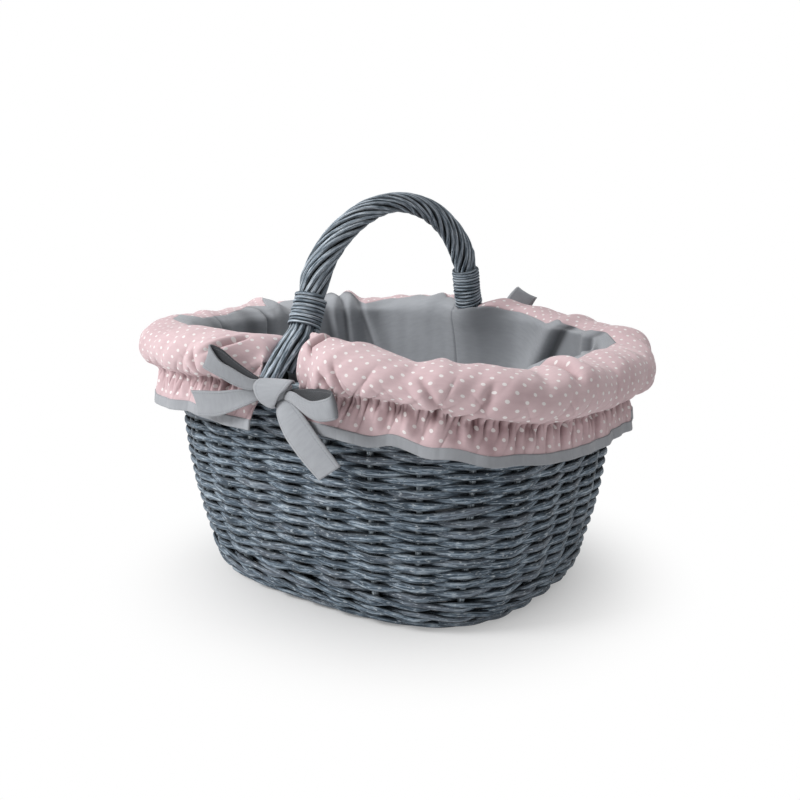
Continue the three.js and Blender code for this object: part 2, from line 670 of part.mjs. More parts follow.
// Angle of a cuff's column at one row of its profile. The cuff on the +X side starts at the
// -Y handle foot, and the other one is the same turned half round.
function cuffAngle(half, column, rowShare) {
  const openSide = THREE.MathUtils.lerp(SLIT_CREST, SLIT_OPEN_SIDE, rowShare);
  const closeSide = THREE.MathUtils.lerp(SLIT_CREST, SLIT_CLOSE_SIDE, rowShare);
  const start = -Math.PI / 2 + Math.atan(openSide / RIM_HALF_WIDTH);
  const end = Math.PI / 2 - Math.atan(closeSide / RIM_HALF_WIDTH);
  const place = THREE.MathUtils.lerp(
    anglePlace(start), anglePlace(end), column / (CUFF_COLUMNS - 1));
  return placeAngle(place) + half * Math.PI;
}

// Point of a cuff: outward from the wall face and height above the border.
function onCuff(half, column, line, outward, height) {
  const rowShare = THREE.MathUtils.clamp(line / cuffEdgeRow, 0, 1);
  const depth = CUFF_FOLD_DEPTH * THREE.MathUtils.clamp((line - 2) / (cuffEdgeRow - 2), 0, 1);
  const fold = (column % 2 === 0 ? 1 : -1) * depth;
  const point = onWall(cuffAngle(half, column, rowShare), borderTop + height, outward + fold, 0);
  point.z -= cuffDroop(point) * THREE.MathUtils.clamp(line / 2, 0, 1);
  return point;
}

// Cuff: cloth that rises from the lining, rolls over the border and hangs in gathers outside.
function cuff(half) {
  const faces = [1, -1].map((face) => cuffColumns.map((column) =>
    cuffLine.map(([outward, height], line) => {
      const [o0, h0] = cuffLine[Math.max(0, line - 1)];
      const [o1, h1] = cuffLine[Math.min(cuffEdgeRow, line + 1)];
      const length = Math.hypot(o1 - o0, h1 - h0);
      const shift = (face * CUFF_THICKNESS) / 2 / length;
      return onCuff(half, column, line, outward - shift * (h1 - h0), height + shift * (o1 - o0));
    })));
  return sheet(faces[0], faces[1]);
}

// Band that follows a cuff at one row of its profile.
function bandAlongCuff(half, line, columns, outward, top, height, thickness) {
  return loft(columns.map((column) => [
    onCuff(half, column, line, outward + thickness / 2, top),
    onCuff(half, column, line, outward - thickness / 2, top),
    onCuff(half, column, line, outward - thickness / 2, top - height),
    onCuff(half, column, line, outward + thickness / 2, top - height),
  ]));
}

function hem(half) {
  const [outward, height] = CUFF_EDGE;
  return bandAlongCuff(half, cuffEdgeRow, cuffColumns, outward, height - SEAT_GAP, HEM_HEIGHT,
    HEM_THICKNESS);
}

// The elastic is stretched straight behind the inward folds of the gather.
function elastic(half) {
  const [outward, height] = CUFF_GATHER;
  const behind = outward - (CUFF_THICKNESS + ELASTIC_THICKNESS) / 2 - SEAT_GAP;
  return bandAlongCuff(half, cuffGatherRow, inwardColumns, behind, height + ELASTIC_WIDTH / 2,
    ELASTIC_WIDTH, ELASTIC_THICKNESS);
}

// A bow's own axes are sideways, outward from the wall face and up from the gather.
function onBow(half, sideways, outward, rise) {
  const point = new THREE.Vector3(
    sideways, -(RIM_HALF_WIDTH + outward), borderTop + CUFF_GATHER[1] + rise);
  return point.applyAxisAngle(up, half * Math.PI);
}

function ribbon(path, side, width) {
  const w = width / 2;
  const t = RIBBON_THICKNESS / 2;
  const section = [[w, t], [-w, t], [-w, -t], [w, -t]];
  return toSolid(loft(ringsAlong(path, () => side, () => section)));
}

function ribbonLoop(half, [sideways, rise]) {
  const path = Array.from({ length: LOOP_STEPS + 1 }, (_, i) => {
    const turn = (i / LOOP_STEPS) * Math.PI * 2;
    const reach = (1 - Math.cos(turn)) / 2;
    const standoff = THREE.MathUtils.lerp(BOW_STANDOFF, BOW_LOOP_STANDOFF, Math.min(1, reach * 3));
    return onBow(half, sideways * reach, standoff + LOOP_DEPTH * Math.sin(turn), rise * reach);
  });
  return ribbon(path, up, RIBBON_WIDTH);
}

function ribbonTail(half, [sideways, rise]) {
  const path = [0, 0.3, 0.65, 1].map((share) => onBow(half, sideways * share,
    THREE.MathUtils.lerp(BOW_STANDOFF, BOW_TAIL_STANDOFF, Math.min(1, share * 3)), rise * share));
  const along = path[3].clone().sub(path[0]).normalize();
  const outward = onBow(half, 0, 1, 0).sub(onBow(half, 0, 0, 0));
  return ribbon(path, new THREE.Vector3().crossVectors(along, outward), RIBBON_WIDTH);
}

// The ribbon's run from the knot to the gather of the cuff on one side of the handle's foot.
function ribbonRun(half, cuffHalf, column) {
  const knot = onBow(half, 0, BOW_STANDOFF, 0);
  const edge = onCuff(cuffHalf, column, cuffGatherRow, ...CUFF_GATHER);
  const end = edge.clone().lerp(knot, (SEAT_GAP + CUFF_THICKNESS / 2) / edge.distanceTo(knot));
  return ribbon([knot, end], up, GATHERED_RIBBON_WIDTH);
}

// Bow: a knot with two loops and two tails of one ribbon, tied between the two cuffs.
function bow(half) {
  const ball = new THREE.SphereGeometry(0.5, 8, 6);
  ball.scale(KNOT_LENGTH, KNOT_DEPTH, KNOT_HEIGHT);
  ball.translate(...onBow(half, 0, BOW_STANDOFF, 0).toArray());
  ball.deleteAttribute('normal');
  ball.deleteAttribute('uv');
  return toGeometry(toSolid(ball)
    .add(ribbonLoop(half, HIGH_LOOP))
    .add(ribbonLoop(half, LOW_LOOP))
    .add(ribbonTail(half, LONG_TAIL))
    .add(ribbonTail(half, SHORT_TAIL))
    .add(ribbonRun(half, half, 0))
    .add(ribbonRun(half, 1 - half, CUFF_COLUMNS - 1)));
}

addPiece('base_sticks', baseSticks(), WILLOW);
addPiece('base_weave', baseWeave(), WILLOW_DARK);
addPiece('foot_wale', footBand(), WILLOW);
for (let place = 0; place < STAKE_PLACES; place += 1) {
  if (!handlePlaces.includes(place)) {
    addPiece(`stake_${String(place).padStart(2, '0')}`, stake(place), WILLOW);
  }
}
for (let number = 0; number < ROW_COUNT; number += 1) {
  addPiece(`weave_row_${String(number + 1).padStart(2, '0')}`, row(number),
    number % 2 === 0 ? WILLOW : WILLOW_DARK);
}
addPiece('handle_core', handleCore(0), WILLOW);
addPiece('handle_rope', handleRope(), WILLOW);
addPiece('handle_binding_near', binding(-1), WILLOW_DARK);
addPiece('handle_binding_far', binding(1), WILLOW_DARK);
addPiece('lining_bag', liningBag(), GREY_COTTON);
addPiece('cuff_right', cuff(0), PINK_COTTON);
addPiece('cuff_left', cuff(1), PINK_COTTON);
addPiece('hem_right', hem(0), GREY_RIBBON);
addPiece('hem_left', hem(1), GREY_RIBBON);
addPiece('elastic_right', elastic(0), ELASTIC);
addPiece('elastic_left', elastic(1), ELASTIC);
addPiece('bow_near', bow(0), GREY_RIBBON);
addPiece('bow_far', bow(1), GREY_RIBBON);

export default basket;
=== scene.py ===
import math

import bpy
import numpy as np
from mathutils import Matrix


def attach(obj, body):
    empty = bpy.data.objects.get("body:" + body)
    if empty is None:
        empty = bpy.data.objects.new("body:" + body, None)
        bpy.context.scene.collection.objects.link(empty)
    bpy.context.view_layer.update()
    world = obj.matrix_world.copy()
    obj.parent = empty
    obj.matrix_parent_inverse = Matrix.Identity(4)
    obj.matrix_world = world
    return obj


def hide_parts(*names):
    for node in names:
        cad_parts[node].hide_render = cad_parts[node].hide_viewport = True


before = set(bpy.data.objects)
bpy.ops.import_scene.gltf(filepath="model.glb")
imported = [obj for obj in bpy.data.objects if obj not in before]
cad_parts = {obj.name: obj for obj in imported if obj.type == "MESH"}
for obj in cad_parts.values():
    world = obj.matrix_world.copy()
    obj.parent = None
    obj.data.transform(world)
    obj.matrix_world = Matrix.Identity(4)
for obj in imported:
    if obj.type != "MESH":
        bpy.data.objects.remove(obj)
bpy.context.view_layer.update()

# Base sticks: three long willow sticks pushed through slits in four cross sticks, their ends fanned
# out to the foot band. All lengths are in millimetres until a mesh is made, which turns them into
# metres. The basket stands on Z = 0, X runs along it and Y across it.
MM = 0.001
RIM_HALF_LENGTH, RIM_HALF_WIDTH = 203, 172.5   # outer face of the woven wall at the rim
PLAN_POWER = 3
WALL_FLARE, FLARE_POWER = 33, 2.66
FOOT_TUCK, FOOT_TUCK_HEIGHT = 17, 12
PLACES = 28                                    # stake places, counted from the +X end
STAKE_LINE = -8.65                             # outward from the wall's outer face
WALL_THICKNESS = 17.3
WALE_TOP, WALL_TOP, BORDER_TOP = 33.4, 203.4, 224.4
STICK_DIAMETER, BASE_MIDDLE = 8, 12.1
LONG_STICK_SPACING, CROSS_STICK_SPACING = 11, 36
BUNDLE_HALF_LENGTH, BUNDLE_HALF_WIDTH = 62, 19
UNEVEN_RUN, UNEVEN_SHARE = 14, 0.035           # a rod's girth changes this often, by this share
BUD_RUN, BUD_SHARE, BUD_LENGTH = 170, 0.16, 2.6
CREVICE_POWER = 2.3
CUT_RADIUS = 0.002                             # of a rod's cut end in its texture, in metres
THINNEST = 0.03                                # share by which a rod may be thinner

chance = np.random.default_rng(11)


def lerp(a, b, t):
    return a + (b - a) * t


def unit(vectors):
    return vectors / np.linalg.norm(vectors, axis=-1, keepdims=True)


def distances(points):
    """Distance along each column of points from its first row."""
    steps = np.diff(points, axis=0, prepend=points[:1])
    return np.cumsum(np.linalg.norm(steps, axis=-1), axis=0)


def wall_inset(z):
    drop = np.maximum(0, 1 - z / BORDER_TOP)
    tuck = np.maximum(0, 1 - z / FOOT_TUCK_HEIGHT)
    return WALL_FLARE * drop ** FLARE_POWER + FOOT_TUCK * tuck ** 2


def on_wall(angle, z, outward=0.0, inset=None):
    """Points of the wall's outline in a direction from the middle, moved square to the wall."""
    angle, z, outward = np.broadcast_arrays(angle, z, outward)
    inset = wall_inset(z) if inset is None else inset
    half_length, half_width = RIM_HALF_LENGTH - inset, RIM_HALF_WIDTH - inset
    c, s = np.cos(angle), np.sin(angle)
    size = np.abs(c / half_length) ** PLAN_POWER + np.abs(s / half_width) ** PLAN_POWER
    x, y = size ** (-1 / PLAN_POWER) * c, size ** (-1 / PLAN_POWER) * s
    slope = np.stack([np.sign(x) * np.abs(x / half_length) ** (PLAN_POWER - 1) / half_length,
                      np.sign(y) * np.abs(y / half_width) ** (PLAN_POWER - 1) / half_width], -1)
    slope = unit(slope)
    return np.stack([x + slope[..., 0] * outward, y + slope[..., 1] * outward, z + 0 * x], -1)


def wall_normal(angle):
    return unit(on_wall(angle, BORDER_TOP, 1.0) - on_wall(angle, BORDER_TOP))


table_angles = np.linspace(0, 2 * math.pi, 100 * PLACES + 1)
table_lengths = distances(on_wall(table_angles, WALL_TOP / 2, STAKE_LINE))
PLACE_SPACING = table_lengths[-1] / PLACES


def place_angle(place):
    turns = np.floor(np.asarray(place, float) / PLACES)
    within = (place - turns * PLACES) * PLACE_SPACING
    return 2 * math.pi * turns + np.interp(within, table_lengths, table_angles)


def inside_foot(angle, z, inward):
    foot = on_wall(angle, 0.0, -WALL_THICKNESS - inward)
    head = on_wall(angle, WALE_TOP, -WALL_THICKNESS - inward)
    return lerp(foot, head, np.asarray(z / WALE_TOP)[..., None])


def add_object(name, data):
    thing = bpy.data.objects.new(name, data)
    bpy.context.scene.collection.objects.link(thing)
    return thing


class Skin:
    """Grids of points that become one mesh. Each point carries a painted shade from 0 to 1: how
    dark the finishes paint it where it lies deep in the weave or in a crease of the cloth."""

    def __init__(self):
        self.points, self.hollows, self.uvs = [], [], []
        self.corners, self.sizes, self.smooths = [], [], []
        self.count = 0

    def add_faces(self, corners, uvs, smooth=True):
        self.corners.append(corners.reshape(-1))
        self.uvs.append(uvs.reshape(-1, 2))
        self.sizes.append(np.full(len(corners), corners.shape[1]))
        self.smooths.append(np.full(len(corners), smooth))

    def grid(self, points, u, v, hollow=0.0, around=False):
        """Faces over rows of points. Where the rows close on themselves, v has one value more."""
        index = self.count + np.arange(points[..., 0].size).reshape(points.shape[:-1])
        self.count += index.size
        self.points.append(points.reshape(-1, 3))
        self.hollows.append(np.broadcast_to(hollow, index.shape).reshape(-1))
        joined = np.concatenate([index, index[:, :1]], axis=1) if around else index
        uv = np.stack(np.broadcast_arrays(u, v), -1)
        near, far = slice(None, -1), slice(1, None)
        quad = [(near, near), (near, far), (far, far), (far, near)]
        self.add_faces(np.stack([joined[q] for q in quad], -1).reshape(-1, 4),
                       np.stack([uv[q] for q in quad], 2).reshape(-1, 4, 2))
        return index

    def rod(self, path, side, width, height, hollow=0.0, crevice_shade=0.9, sides=12):
        """Oval rod along a path, width towards side and height across it, a little uneven and with
        a bud here and there. It is painted in shade all over by the given amount, and darker along
        the crevices where it lies against its neighbours."""
        length = distances(path)
        knots = chance.normal(0, 1, int(length[-1] / UNEVEN_RUN) + 3)
        uneven = 1 + UNEVEN_SHARE * np.interp(length / UNEVEN_RUN, np.arange(len(knots)), knots)
        for bud in chance.uniform(0, length[-1], int(length[-1] / BUD_RUN)):
            uneven = uneven + BUD_SHARE * np.exp(-((length - bud) / BUD_LENGTH) ** 2)
        along = unit(np.gradient(path, axis=0))
        side = np.broadcast_to(side, path.shape)
        side = unit(side - along * np.sum(side * along, axis=1, keepdims=True))
        cross = np.cross(along, side)
        width, height, hollow = (np.broadcast_to(x, len(path))[:, None]
                                 for x in (width * uneven, height * uneven, hollow))
        turn = math.pi + 2 * math.pi * np.arange(sides) / sides
        # Painted shade along the two crevices across its width, where neighbours touch it
        hollow = np.maximum(hollow, crevice_shade * np.abs(np.sin(turn)) ** CREVICE_POWER)
        points = (path[:, None] + side[:, None] * (width / 2 * np.cos(turn))[..., None]
                  + cross[:, None] * (height / 2 * np.sin(turn))[..., None])
        girth = math.pi * float(np.mean(width + height)) / 2
        u = (length * MM + chance.uniform(0, 40))[:, None]
        v = np.arange(sides + 1) / sides * girth * MM + chance.uniform(0, 40)
        index = self.grid(points, u, v, hollow, around=True)
        cut = np.stack([u[0, 0] + CUT_RADIUS * np.cos(turn), v[0] + CUT_RADIUS * np.sin(turn)], -1)
        self.add_faces(index[:1, ::-1], cut[None, ::-1], smooth=False)
        self.add_faces(index[-1:], cut[None], smooth=False)

    def object(self, name, material):
        mesh = bpy.data.meshes.new(name)
        corners, sizes = np.concatenate(self.corners), np.concatenate(self.sizes)
        mesh.vertices.add(self.count)
        mesh.loops.add(len(corners))
        mesh.polygons.add(len(sizes))
        mesh.vertices.foreach_set("co", (np.concatenate(self.points) * MM).ravel())
        mesh.loops.foreach_set("vertex_index", corners.astype(np.int32))
        mesh.polygons.foreach_set("loop_start", (np.cumsum(sizes) - sizes).astype(np.int32))
        mesh.polygons.foreach_set("use_smooth", np.concatenate(self.smooths))
        mesh.uv_layers.new(name="UVMap").data.foreach_set("uv", np.concatenate(self.uvs).ravel())
        # The painted shade goes to the finishes as a point attribute
        hollow = mesh.attributes.new("hollow", "FLOAT", "POINT")
        hollow.data.foreach_set("value", np.concatenate(self.hollows).astype(np.float32))
        mesh.update(calc_edges=True)
        mesh.materials.append(material)
        return add_object(name, mesh)


def dress(piece, node):
    """Lets a piece stand for a solid of the frame: it rides on the root and the solid is hidden."""
    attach(piece, "root")
    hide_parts(node)


def show_rods(skin, node, material):
    """Shows rods of willow in place of a solid of the frame."""
    dress(skin.object(node + "_willow", material), node)


def colour(code):
    """Linear colour for a screen colour written as six hexadecimal digits."""
    parts = [int(code[i:i + 2], 16) / 255 for i in (0, 2, 4)]
    return tuple(((p + 0.055) / 1.055) ** 2.4 if p > 0.04045 else p / 12.92 for p in parts) + (1,)


class Value:
    """A number, colour or vector in a finish, which takes part in sums with others."""

    def __init__(self, finish, socket):
        self.finish, self.socket = finish, socket

    def math(self, operation, *others):
        return self.finish.node("ShaderNodeMath", {"operation": operation},
                                dict(enumerate((self, *others))))

    def __add__(self, other):
        return self.math("ADD", other)

    def __sub__(self, other):
        return self.math("SUBTRACT", other)

    def __rsub__(self, other):
        return self.finish.node("ShaderNodeMath", {"operation": "SUBTRACT"}, {0: other, 1: self})

    def __mul__(self, other):
        return self.math("MULTIPLY", other)

    __radd__, __rmul__ = __add__, __mul__


class Finish:
    """A material whose nodes are made from expressions."""

    def __init__(self, name):
        self.material = bpy.data.materials.new(name)
        self.material.use_nodes = True
        self.tree = self.material.node_tree
        self.surface = self.tree.nodes["Principled BSDF"]
        self.uv = self.node("ShaderNodeUVMap", {"uv_map": "UVMap"})

    def node(self, kind, settings=None, sockets=None, output=0):
        node = self.tree.nodes.new(kind)
        for key, value in (settings or {}).items():
            setattr(node, key, value)
        for key, value in (sockets or {}).items():
            self.put(node.inputs[key], value)
        return Value(self, node.outputs[output])

    def put(self, socket, value):
        if isinstance(value, Value):
            self.tree.links.new(value.socket, socket)
        else:
            socket.default_value = value

    def set(self, **sockets):
        for name, value in sockets.items():
            self.put(self.surface.inputs[name.replace("_", " ")], value)

    def noise(self, scale, detail):
        place = self.node("ShaderNodeVectorMath", {"operation": "MULTIPLY"}, {0: self.uv, 1: scale})
        return self.node("ShaderNodeTexNoise", {"noise_dimensions": "2D"},
                         {"Vector": place, "Scale": 1.0, "Detail": detail, "Roughness": 0.55})

    def between(self, value, low, high, bottom=0.0, top=1.0):
        return self.node("ShaderNodeMapRange", {"interpolation_type": "SMOOTHSTEP"},
                         {"Value": value, "From Min": low, "From Max": high,
                          "To Min": bottom, "To Max": top})

    def mix(self, share, first, second):
        return self.node("ShaderNodeMix", {"data_type": "RGBA"}, {0: share, 6: first, 7: second}, 2)

    # Painted shade of each point, read from the mesh
    def hollow(self):
        return self.node("ShaderNodeAttribute", {"attribute_name": "hollow"}, None, 2)

    def bump(self, height, distance):
        self.set(Normal=self.node("ShaderNodeBump", None, {"Distance": distance, "Height": height}))


def painted_willow(name, shades, wear):
    """Thin blue-grey paint over willow: streaks along the rod, pale worn specks, and near-black
    painted shade where a rod lies deep in the weave or against its neighbours.
    """
    finish = Finish(name)
    dark, middle, light, speck, tint = (colour(code) for code in shades)
    streak = finish.noise((60, 900, 0), 3)
    broad = finish.noise((14, 260, 0), 2)
    patch = finish.noise((7, 40, 0), 1)
    fleck = finish.noise((170, 900, 0), 3)
    shade = finish.mix(finish.between(streak * 0.7 + broad * 0.3, 0.4, 0.58), dark, middle)
    shade = finish.mix(finish.between(broad * 0.5 + streak, 0.78, 1.0, 0, 0.75), shade, light)
    shade = finish.mix(finish.between(patch, 0.54, 0.68, 0, 0.35), shade, tint)
    shade = finish.mix(finish.between(fleck, 0.4, 0.3) * wear, shade, dark)
    shade = finish.mix(finish.between(fleck, 0.6, 0.7) * wear, shade, speck)
    # Painted shade: near black where a point lies deep in the weave or against its neighbours
    shade = finish.mix(finish.hollow(), shade, colour("05080b"))
    finish.set(Base_Color=shade, Roughness=finish.between(streak, 0.3, 0.7, 0.46, 0.68),
               Specular_IOR_Level=0.32)
    finish.bump(streak + fleck * 0.5, 0.0006)
    return finish.material


WILLOW_SHADES = ("394652", "7e8e9d", "b4c1cb", "d3dce2", "7b7e86")
willow = painted_willow("painted_willow", WILLOW_SHADES, 0.7)


def arm_end(start, place, lowest, half_width):
    """End of a stick that fans out from start to a stake place, just inside the foot band."""
    angle = place_angle(place)
    face = inside_foot(angle, lowest, 0.0)
    run = unit((face - start) * (1, 1, 0))
    slant = math.sqrt(max(0.0, 1 - float(run @ wall_normal(angle)) ** 2))
    end = inside_foot(angle, lowest, 0.3 + half_width * slant)
    return np.array([end[0], end[1], start[2]])


arms = []
for k in (-1, 0, 1):
    for sign, place in ((1, 2 * k), (-1, PLACES / 2 - 2 * k)):
        start = np.array([sign * BUNDLE_HALF_LENGTH, k * LONG_STICK_SPACING, BASE_MIDDLE])
        arms.append((place % PLACES, f"long{k}", start))
for k in (-1.5, -0.5, 0.5, 1.5):
    for sign, place in ((1, PLACES / 4 - 2 * k), (-1, 3 * PLACES / 4 + 2 * k)):
        start = np.array([k * CROSS_STICK_SPACING, sign * BUNDLE_HALF_WIDTH, BASE_MIDDLE])
        arms.append((place % PLACES, f"cross{k}", start))
arms.sort(key=lambda arm: arm[0])

sticks = Skin()
for stick in sorted({arm[1] for arm in arms}):
    (place_a, _, start_a), (place_b, _, start_b) = [arm for arm in arms if arm[1] == stick]
    radius = STICK_DIAMETER / 2
    corners = np.array([arm_end(start_a, place_a, BASE_MIDDLE - radius, radius), start_a,
                        start_b, arm_end(start_b, place_b, BASE_MIDDLE - radius, radius)])
    runs = [lerp(corners[i], corners[i + 1], np.linspace(0, 1, 9)[:-1, None]) for i in range(3)]
    path = np.concatenate([*runs, corners[-1:]])
    thickness = STICK_DIAMETER * (1 - THINNEST * chance.random(len(path)))
    # Painted shade: a little all over, more along the crevices
    sticks.rod(path, (0, 0, 1), thickness, thickness, 0.2, 0.3)
show_rods(sticks, "base_sticks", willow)

# Base weave: thin willow rods woven over and under the fanned sticks, round after round, from the
# bundle in the middle out to the foot band.
BASE_ROD, BASE_ROUNDS, BASE_SWING, BASE_LIFT = 3.6, 12, 5.9, 3
FIRST_ROUND, ROUND_STEP, STICK_SPAN = 1.1, 0.43, 6.7   # shares of a stick's run, from the bundle


def smooth_step(before, here, there, after, t):
    """Smooth way from one of four values or points in a row to the next, for t from 0 to 1."""
    return here + 0.5 * t * (there - before + t * (2 * before - 5 * here + 4 * there - after
                                                   + t * (3 * (here - there) + after - before)))


weave = Skin()
for ring in range(BASE_ROUNDS):
    share = (FIRST_ROUND + ring * ROUND_STEP) / STICK_SPAN
    knots = np.array([lerp(start, arm_end(start, place, BASE_LIFT, 0), share)
                      for place, _, start in arms])
    count = len(knots)
    steps = np.linspace(0, count, count * 10 + 1)
    lower = np.floor(steps).astype(int)
    t = (steps - lower)[:, None]
    path = smooth_step(*(knots[(lower + k) % count] for k in (-1, 0, 1, 2)), t)
    path[:, 2] += BASE_SWING * np.cos(math.pi * steps) * (1 if ring % 2 else -1)
    # Painted shade: some all over, and more along the crevices
    weave.rod(path, (0, 0, 1), BASE_ROD, BASE_ROD * 1.15, 0.35, sides=8)
show_rods(weave, "base_weave", willow)

# Foot band: three rounds of waling in heavier willow. Each round is three rods that take turns: a
# rod passes in front of two stakes, slanting down across them, and behind the third. The lowest
# round turns under as the basket's foot.
WALE_ROUNDS, WALE_ROD, WALE_DEPTH, WALE_SWING = 3, 5.6, 4.2, 5.3
WALE_STEPS = 12           # rings of points in each stake place
# Rods are painted in shade, from none to full, as they go in behind the stakes
WALE_PAINTED_SHADE = (-8, -13)   # from bare to hidden between the stakes, outward from the wall's face
WANDER = 0.3              # of a rod up or down from its place in the weave


def blend(low, high, x):
    t = np.clip((x - low) / (high - low), 0, 1)
    return t * t * (3 - 2 * t)


def swing_over(t, straight):
    """Way of a rod from one stake to the next, 0 to 1: a wave with a share of it straight."""
    return lerp((1 - np.cos(math.pi * t)) / 2, t, straight)


wale = Skin()
round_height = WALE_TOP / WALE_ROUNDS
for course in range(WALE_ROUNDS):
    for rod in range(3):
        steps = np.arange(0, PLACES * WALE_STEPS + 1) / WALE_STEPS
        knots = chance.normal(0, WANDER, PLACES + 1)
        lower = np.floor(steps).astype(int)
        ease = swing_over(steps - lower, 0.6)
        beat = lower + rod + course
        swing, climb = (lerp(np.take(turns, beat % 3), np.take(turns, (beat + 1) % 3), ease)
                        for turns in ((1, 1, -1), (1, -1, 0)))
        level = (course + 0.5 + 0.25 * climb) * round_height
        level = level + np.interp(steps, np.arange(PLACES + 1), knots)
        level = np.clip(level, WALE_ROD * 0.5, WALE_TOP - WALE_ROD * 0.4)
        line = STAKE_LINE + WALE_SWING * swing
        line = line + 0.4 * np.sin(steps * 2 * math.pi * 5 / PLACES + rod)
        angle = place_angle(steps % PLACES)
        wale.rod(on_wall(angle, level, line), wall_normal(angle), WALE_DEPTH,
                 WALE_ROD * lerp(0.75, 1.0, np.abs(swing)), blend(*WALE_PAINTED_SHADE, line))
show_rods(wale, "foot_wale", willow)

# Stakes: upright willow rods between the foot band and the rim, where each is bent over, lies
# outside the next stakes and climbs over their tops to make the border.
STAKE_DIAMETER, STAKE_DEPTH_SHARE = 6.0, 1.14
BORDER_START, BORDER_RISE, BORDER_REACH, BORDER_OUT = 206.95, 7.1, 1.95, 6.8
FAR_PLACE, NEAR_PLACE = 7, 21   # the handle's
# The stakes' paint is lighter than the rods': painted highlight where they show between the rods
STAKE_LIT_SHADES = ("66727c", "98a5ae", "c2ccd2", "dde3e6", "8b8e92")
lit_stake_willow = painted_willow("lit_stake_paint", STAKE_LIT_SHADES, 0.9)

for place in range(PLACES):
    if place in (FAR_PLACE, NEAR_PLACE):
        continue
    heights = np.linspace(5, WALL_TOP + 0.3, 40)
    upright = on_wall(place_angle(place), heights, STAKE_LINE)
    steps = np.linspace(0.04, BORDER_REACH, 26)
    angles = place_angle((place + steps) % PLACES)
    bent = on_wall(angles, BORDER_START + steps * BORDER_RISE,
                   STAKE_LINE + BORDER_OUT * np.minimum(1, steps / 0.35), 0.0)
    path = np.concatenate([upright, bent])
    sides = np.concatenate([np.broadcast_to(wall_normal(place_angle(place)), upright.shape),
                            wall_normal(angles)])
    skin = Skin()
    thickness = STAKE_DIAMETER * (1 - THINNEST * chance.random())
    # Painted shade only along the crevices, and faint
    skin.rod(path, sides, STAKE_DEPTH_SHARE * thickness, thickness, 0.0, 0.25)
    show_rods(skin, f"stake_{place:02d}", lit_stake_willow)

# Weave rows: each is one willow rod that goes round the basket twice, in front of a stake and
# behind the next. The rods are pressed flat where they cross and swell where they pass a stake.
ROW_COUNT, ROUNDS_PER_ROW, ROW_SHIFT = 17, 2, 10
FIRST_ROD, ROUND_PITCH, ROD_TAIL = 2.65, 5.0, 0.3
ROD_DEPTH, ROD_HEIGHT, ROD_CROSSING, ROD_SWING = 3.5, 7.9, 6.0, 4.6
# Rods are painted in shade, from none to full between these two lines outward, as they go in behind
# the stakes
ROW_STEPS, ROW_PAINTED_SHADE = 10, (-8.8, -13.5)
FRONT_SWING, SWING_SPREAD, GIRTH_SPREAD = 0.4, (-0.2, 0.4), 0.06
waver_terms = [(k, chance.uniform(0.05, 0.11), chance.uniform(0, 6.3), chance.uniform(0.2, 0.5))
               for k in (2, 3, 5, 7, 9, 11)]


def waver(place, z):
    """How far the rods wander up or down together, which keeps neighbours apart."""
    total = sum(size * np.sin(2 * math.pi * k * place / PLACES + z * rise + start)
                for k, rise, start, size in waver_terms)
    return total * blend(WALE_TOP, WALE_TOP + 30, z) * (1 - blend(WALL_TOP - 30, WALL_TOP, z))


for number in range(ROW_COUNT):
    start = 1 + number * ROW_SHIFT
    last = ROUNDS_PER_ROW * PLACES - 1
    steps = np.arange(-ROD_TAIL, last + ROD_TAIL + 1e-6, 1 / ROW_STEPS)
    stops = np.arange(-1, last + 2)
    held = np.clip(stops, 0, last)
    rounds = held // PLACES + number * ROUNDS_PER_ROW
    front = np.where((start + held + rounds) % 2 == 0, 1.0, -1.0)
    levels = WALE_TOP + FIRST_ROD + rounds * ROUND_PITCH
    levels = levels + chance.normal(0, WANDER, len(stops))
    reach = ROD_SWING + FRONT_SWING * front + chance.uniform(*SWING_SPREAD, len(stops))
    girths = 1 + chance.normal(0, GIRTH_SPREAD, len(stops))
    lower = np.clip(np.floor(steps).astype(int) + 1, 0, len(stops) - 2)
    t = steps - stops[lower]
    ease = swing_over(t, 0.8)
    swing = lerp((front * reach)[lower], (front * reach)[lower + 1], ease)
    level = lerp(levels[lower], levels[lower + 1], ease)
    girth = lerp(girths[lower], girths[lower + 1], t)
    places = (start + steps) % PLACES
    angle = place_angle(places)
    line = STAKE_LINE + swing
    z = level + waver(places, level) + 0.09 * swing
    swell = blend(0, 0.8, np.abs(swing) / ROD_SWING)
    skin = Skin()
    skin.rod(on_wall(angle, z, line), wall_normal(angle), ROD_DEPTH * girth,
             lerp(ROD_CROSSING, ROD_HEIGHT, swell) * girth, blend(*ROW_PAINTED_SHADE, line))
    show_rods(skin, f"weave_row_{number + 1:02d}", willow)

# Handle core: a stout willow stick bent into an arch, its sliced ends pushed down into the wall in
# place of two stakes.
NEAR_LEG = [(15.5, -15), (-14.5, 15), (-30.5, 29.5), (-36, 39), (-45.5, 61), (-53.5, 80),
            (-75, 103.5), (-115.5, 126.5)]   # outward from the wall face, above the border
FAR_LEG = [(8, -15), (-20, 8), (-35, 23), (-40.5, 36), *NEAR_LEG[4:]]
HANDLE_CROWN, CORE_DIAMETER, CORE_FOOT = 137, 10.6, 15
# The handle's paint is a lighter copy of the weave's: painted light, so that the handle looks more
# brightly lit
HANDLE_LIT_SHADES = ("55636e", "b7c5d2", "e4ebf1", "edf1f4", "a6b0ba")
handle_willow = painted_willow("handle_willow", HANDLE_LIT_SHADES, 0.3)


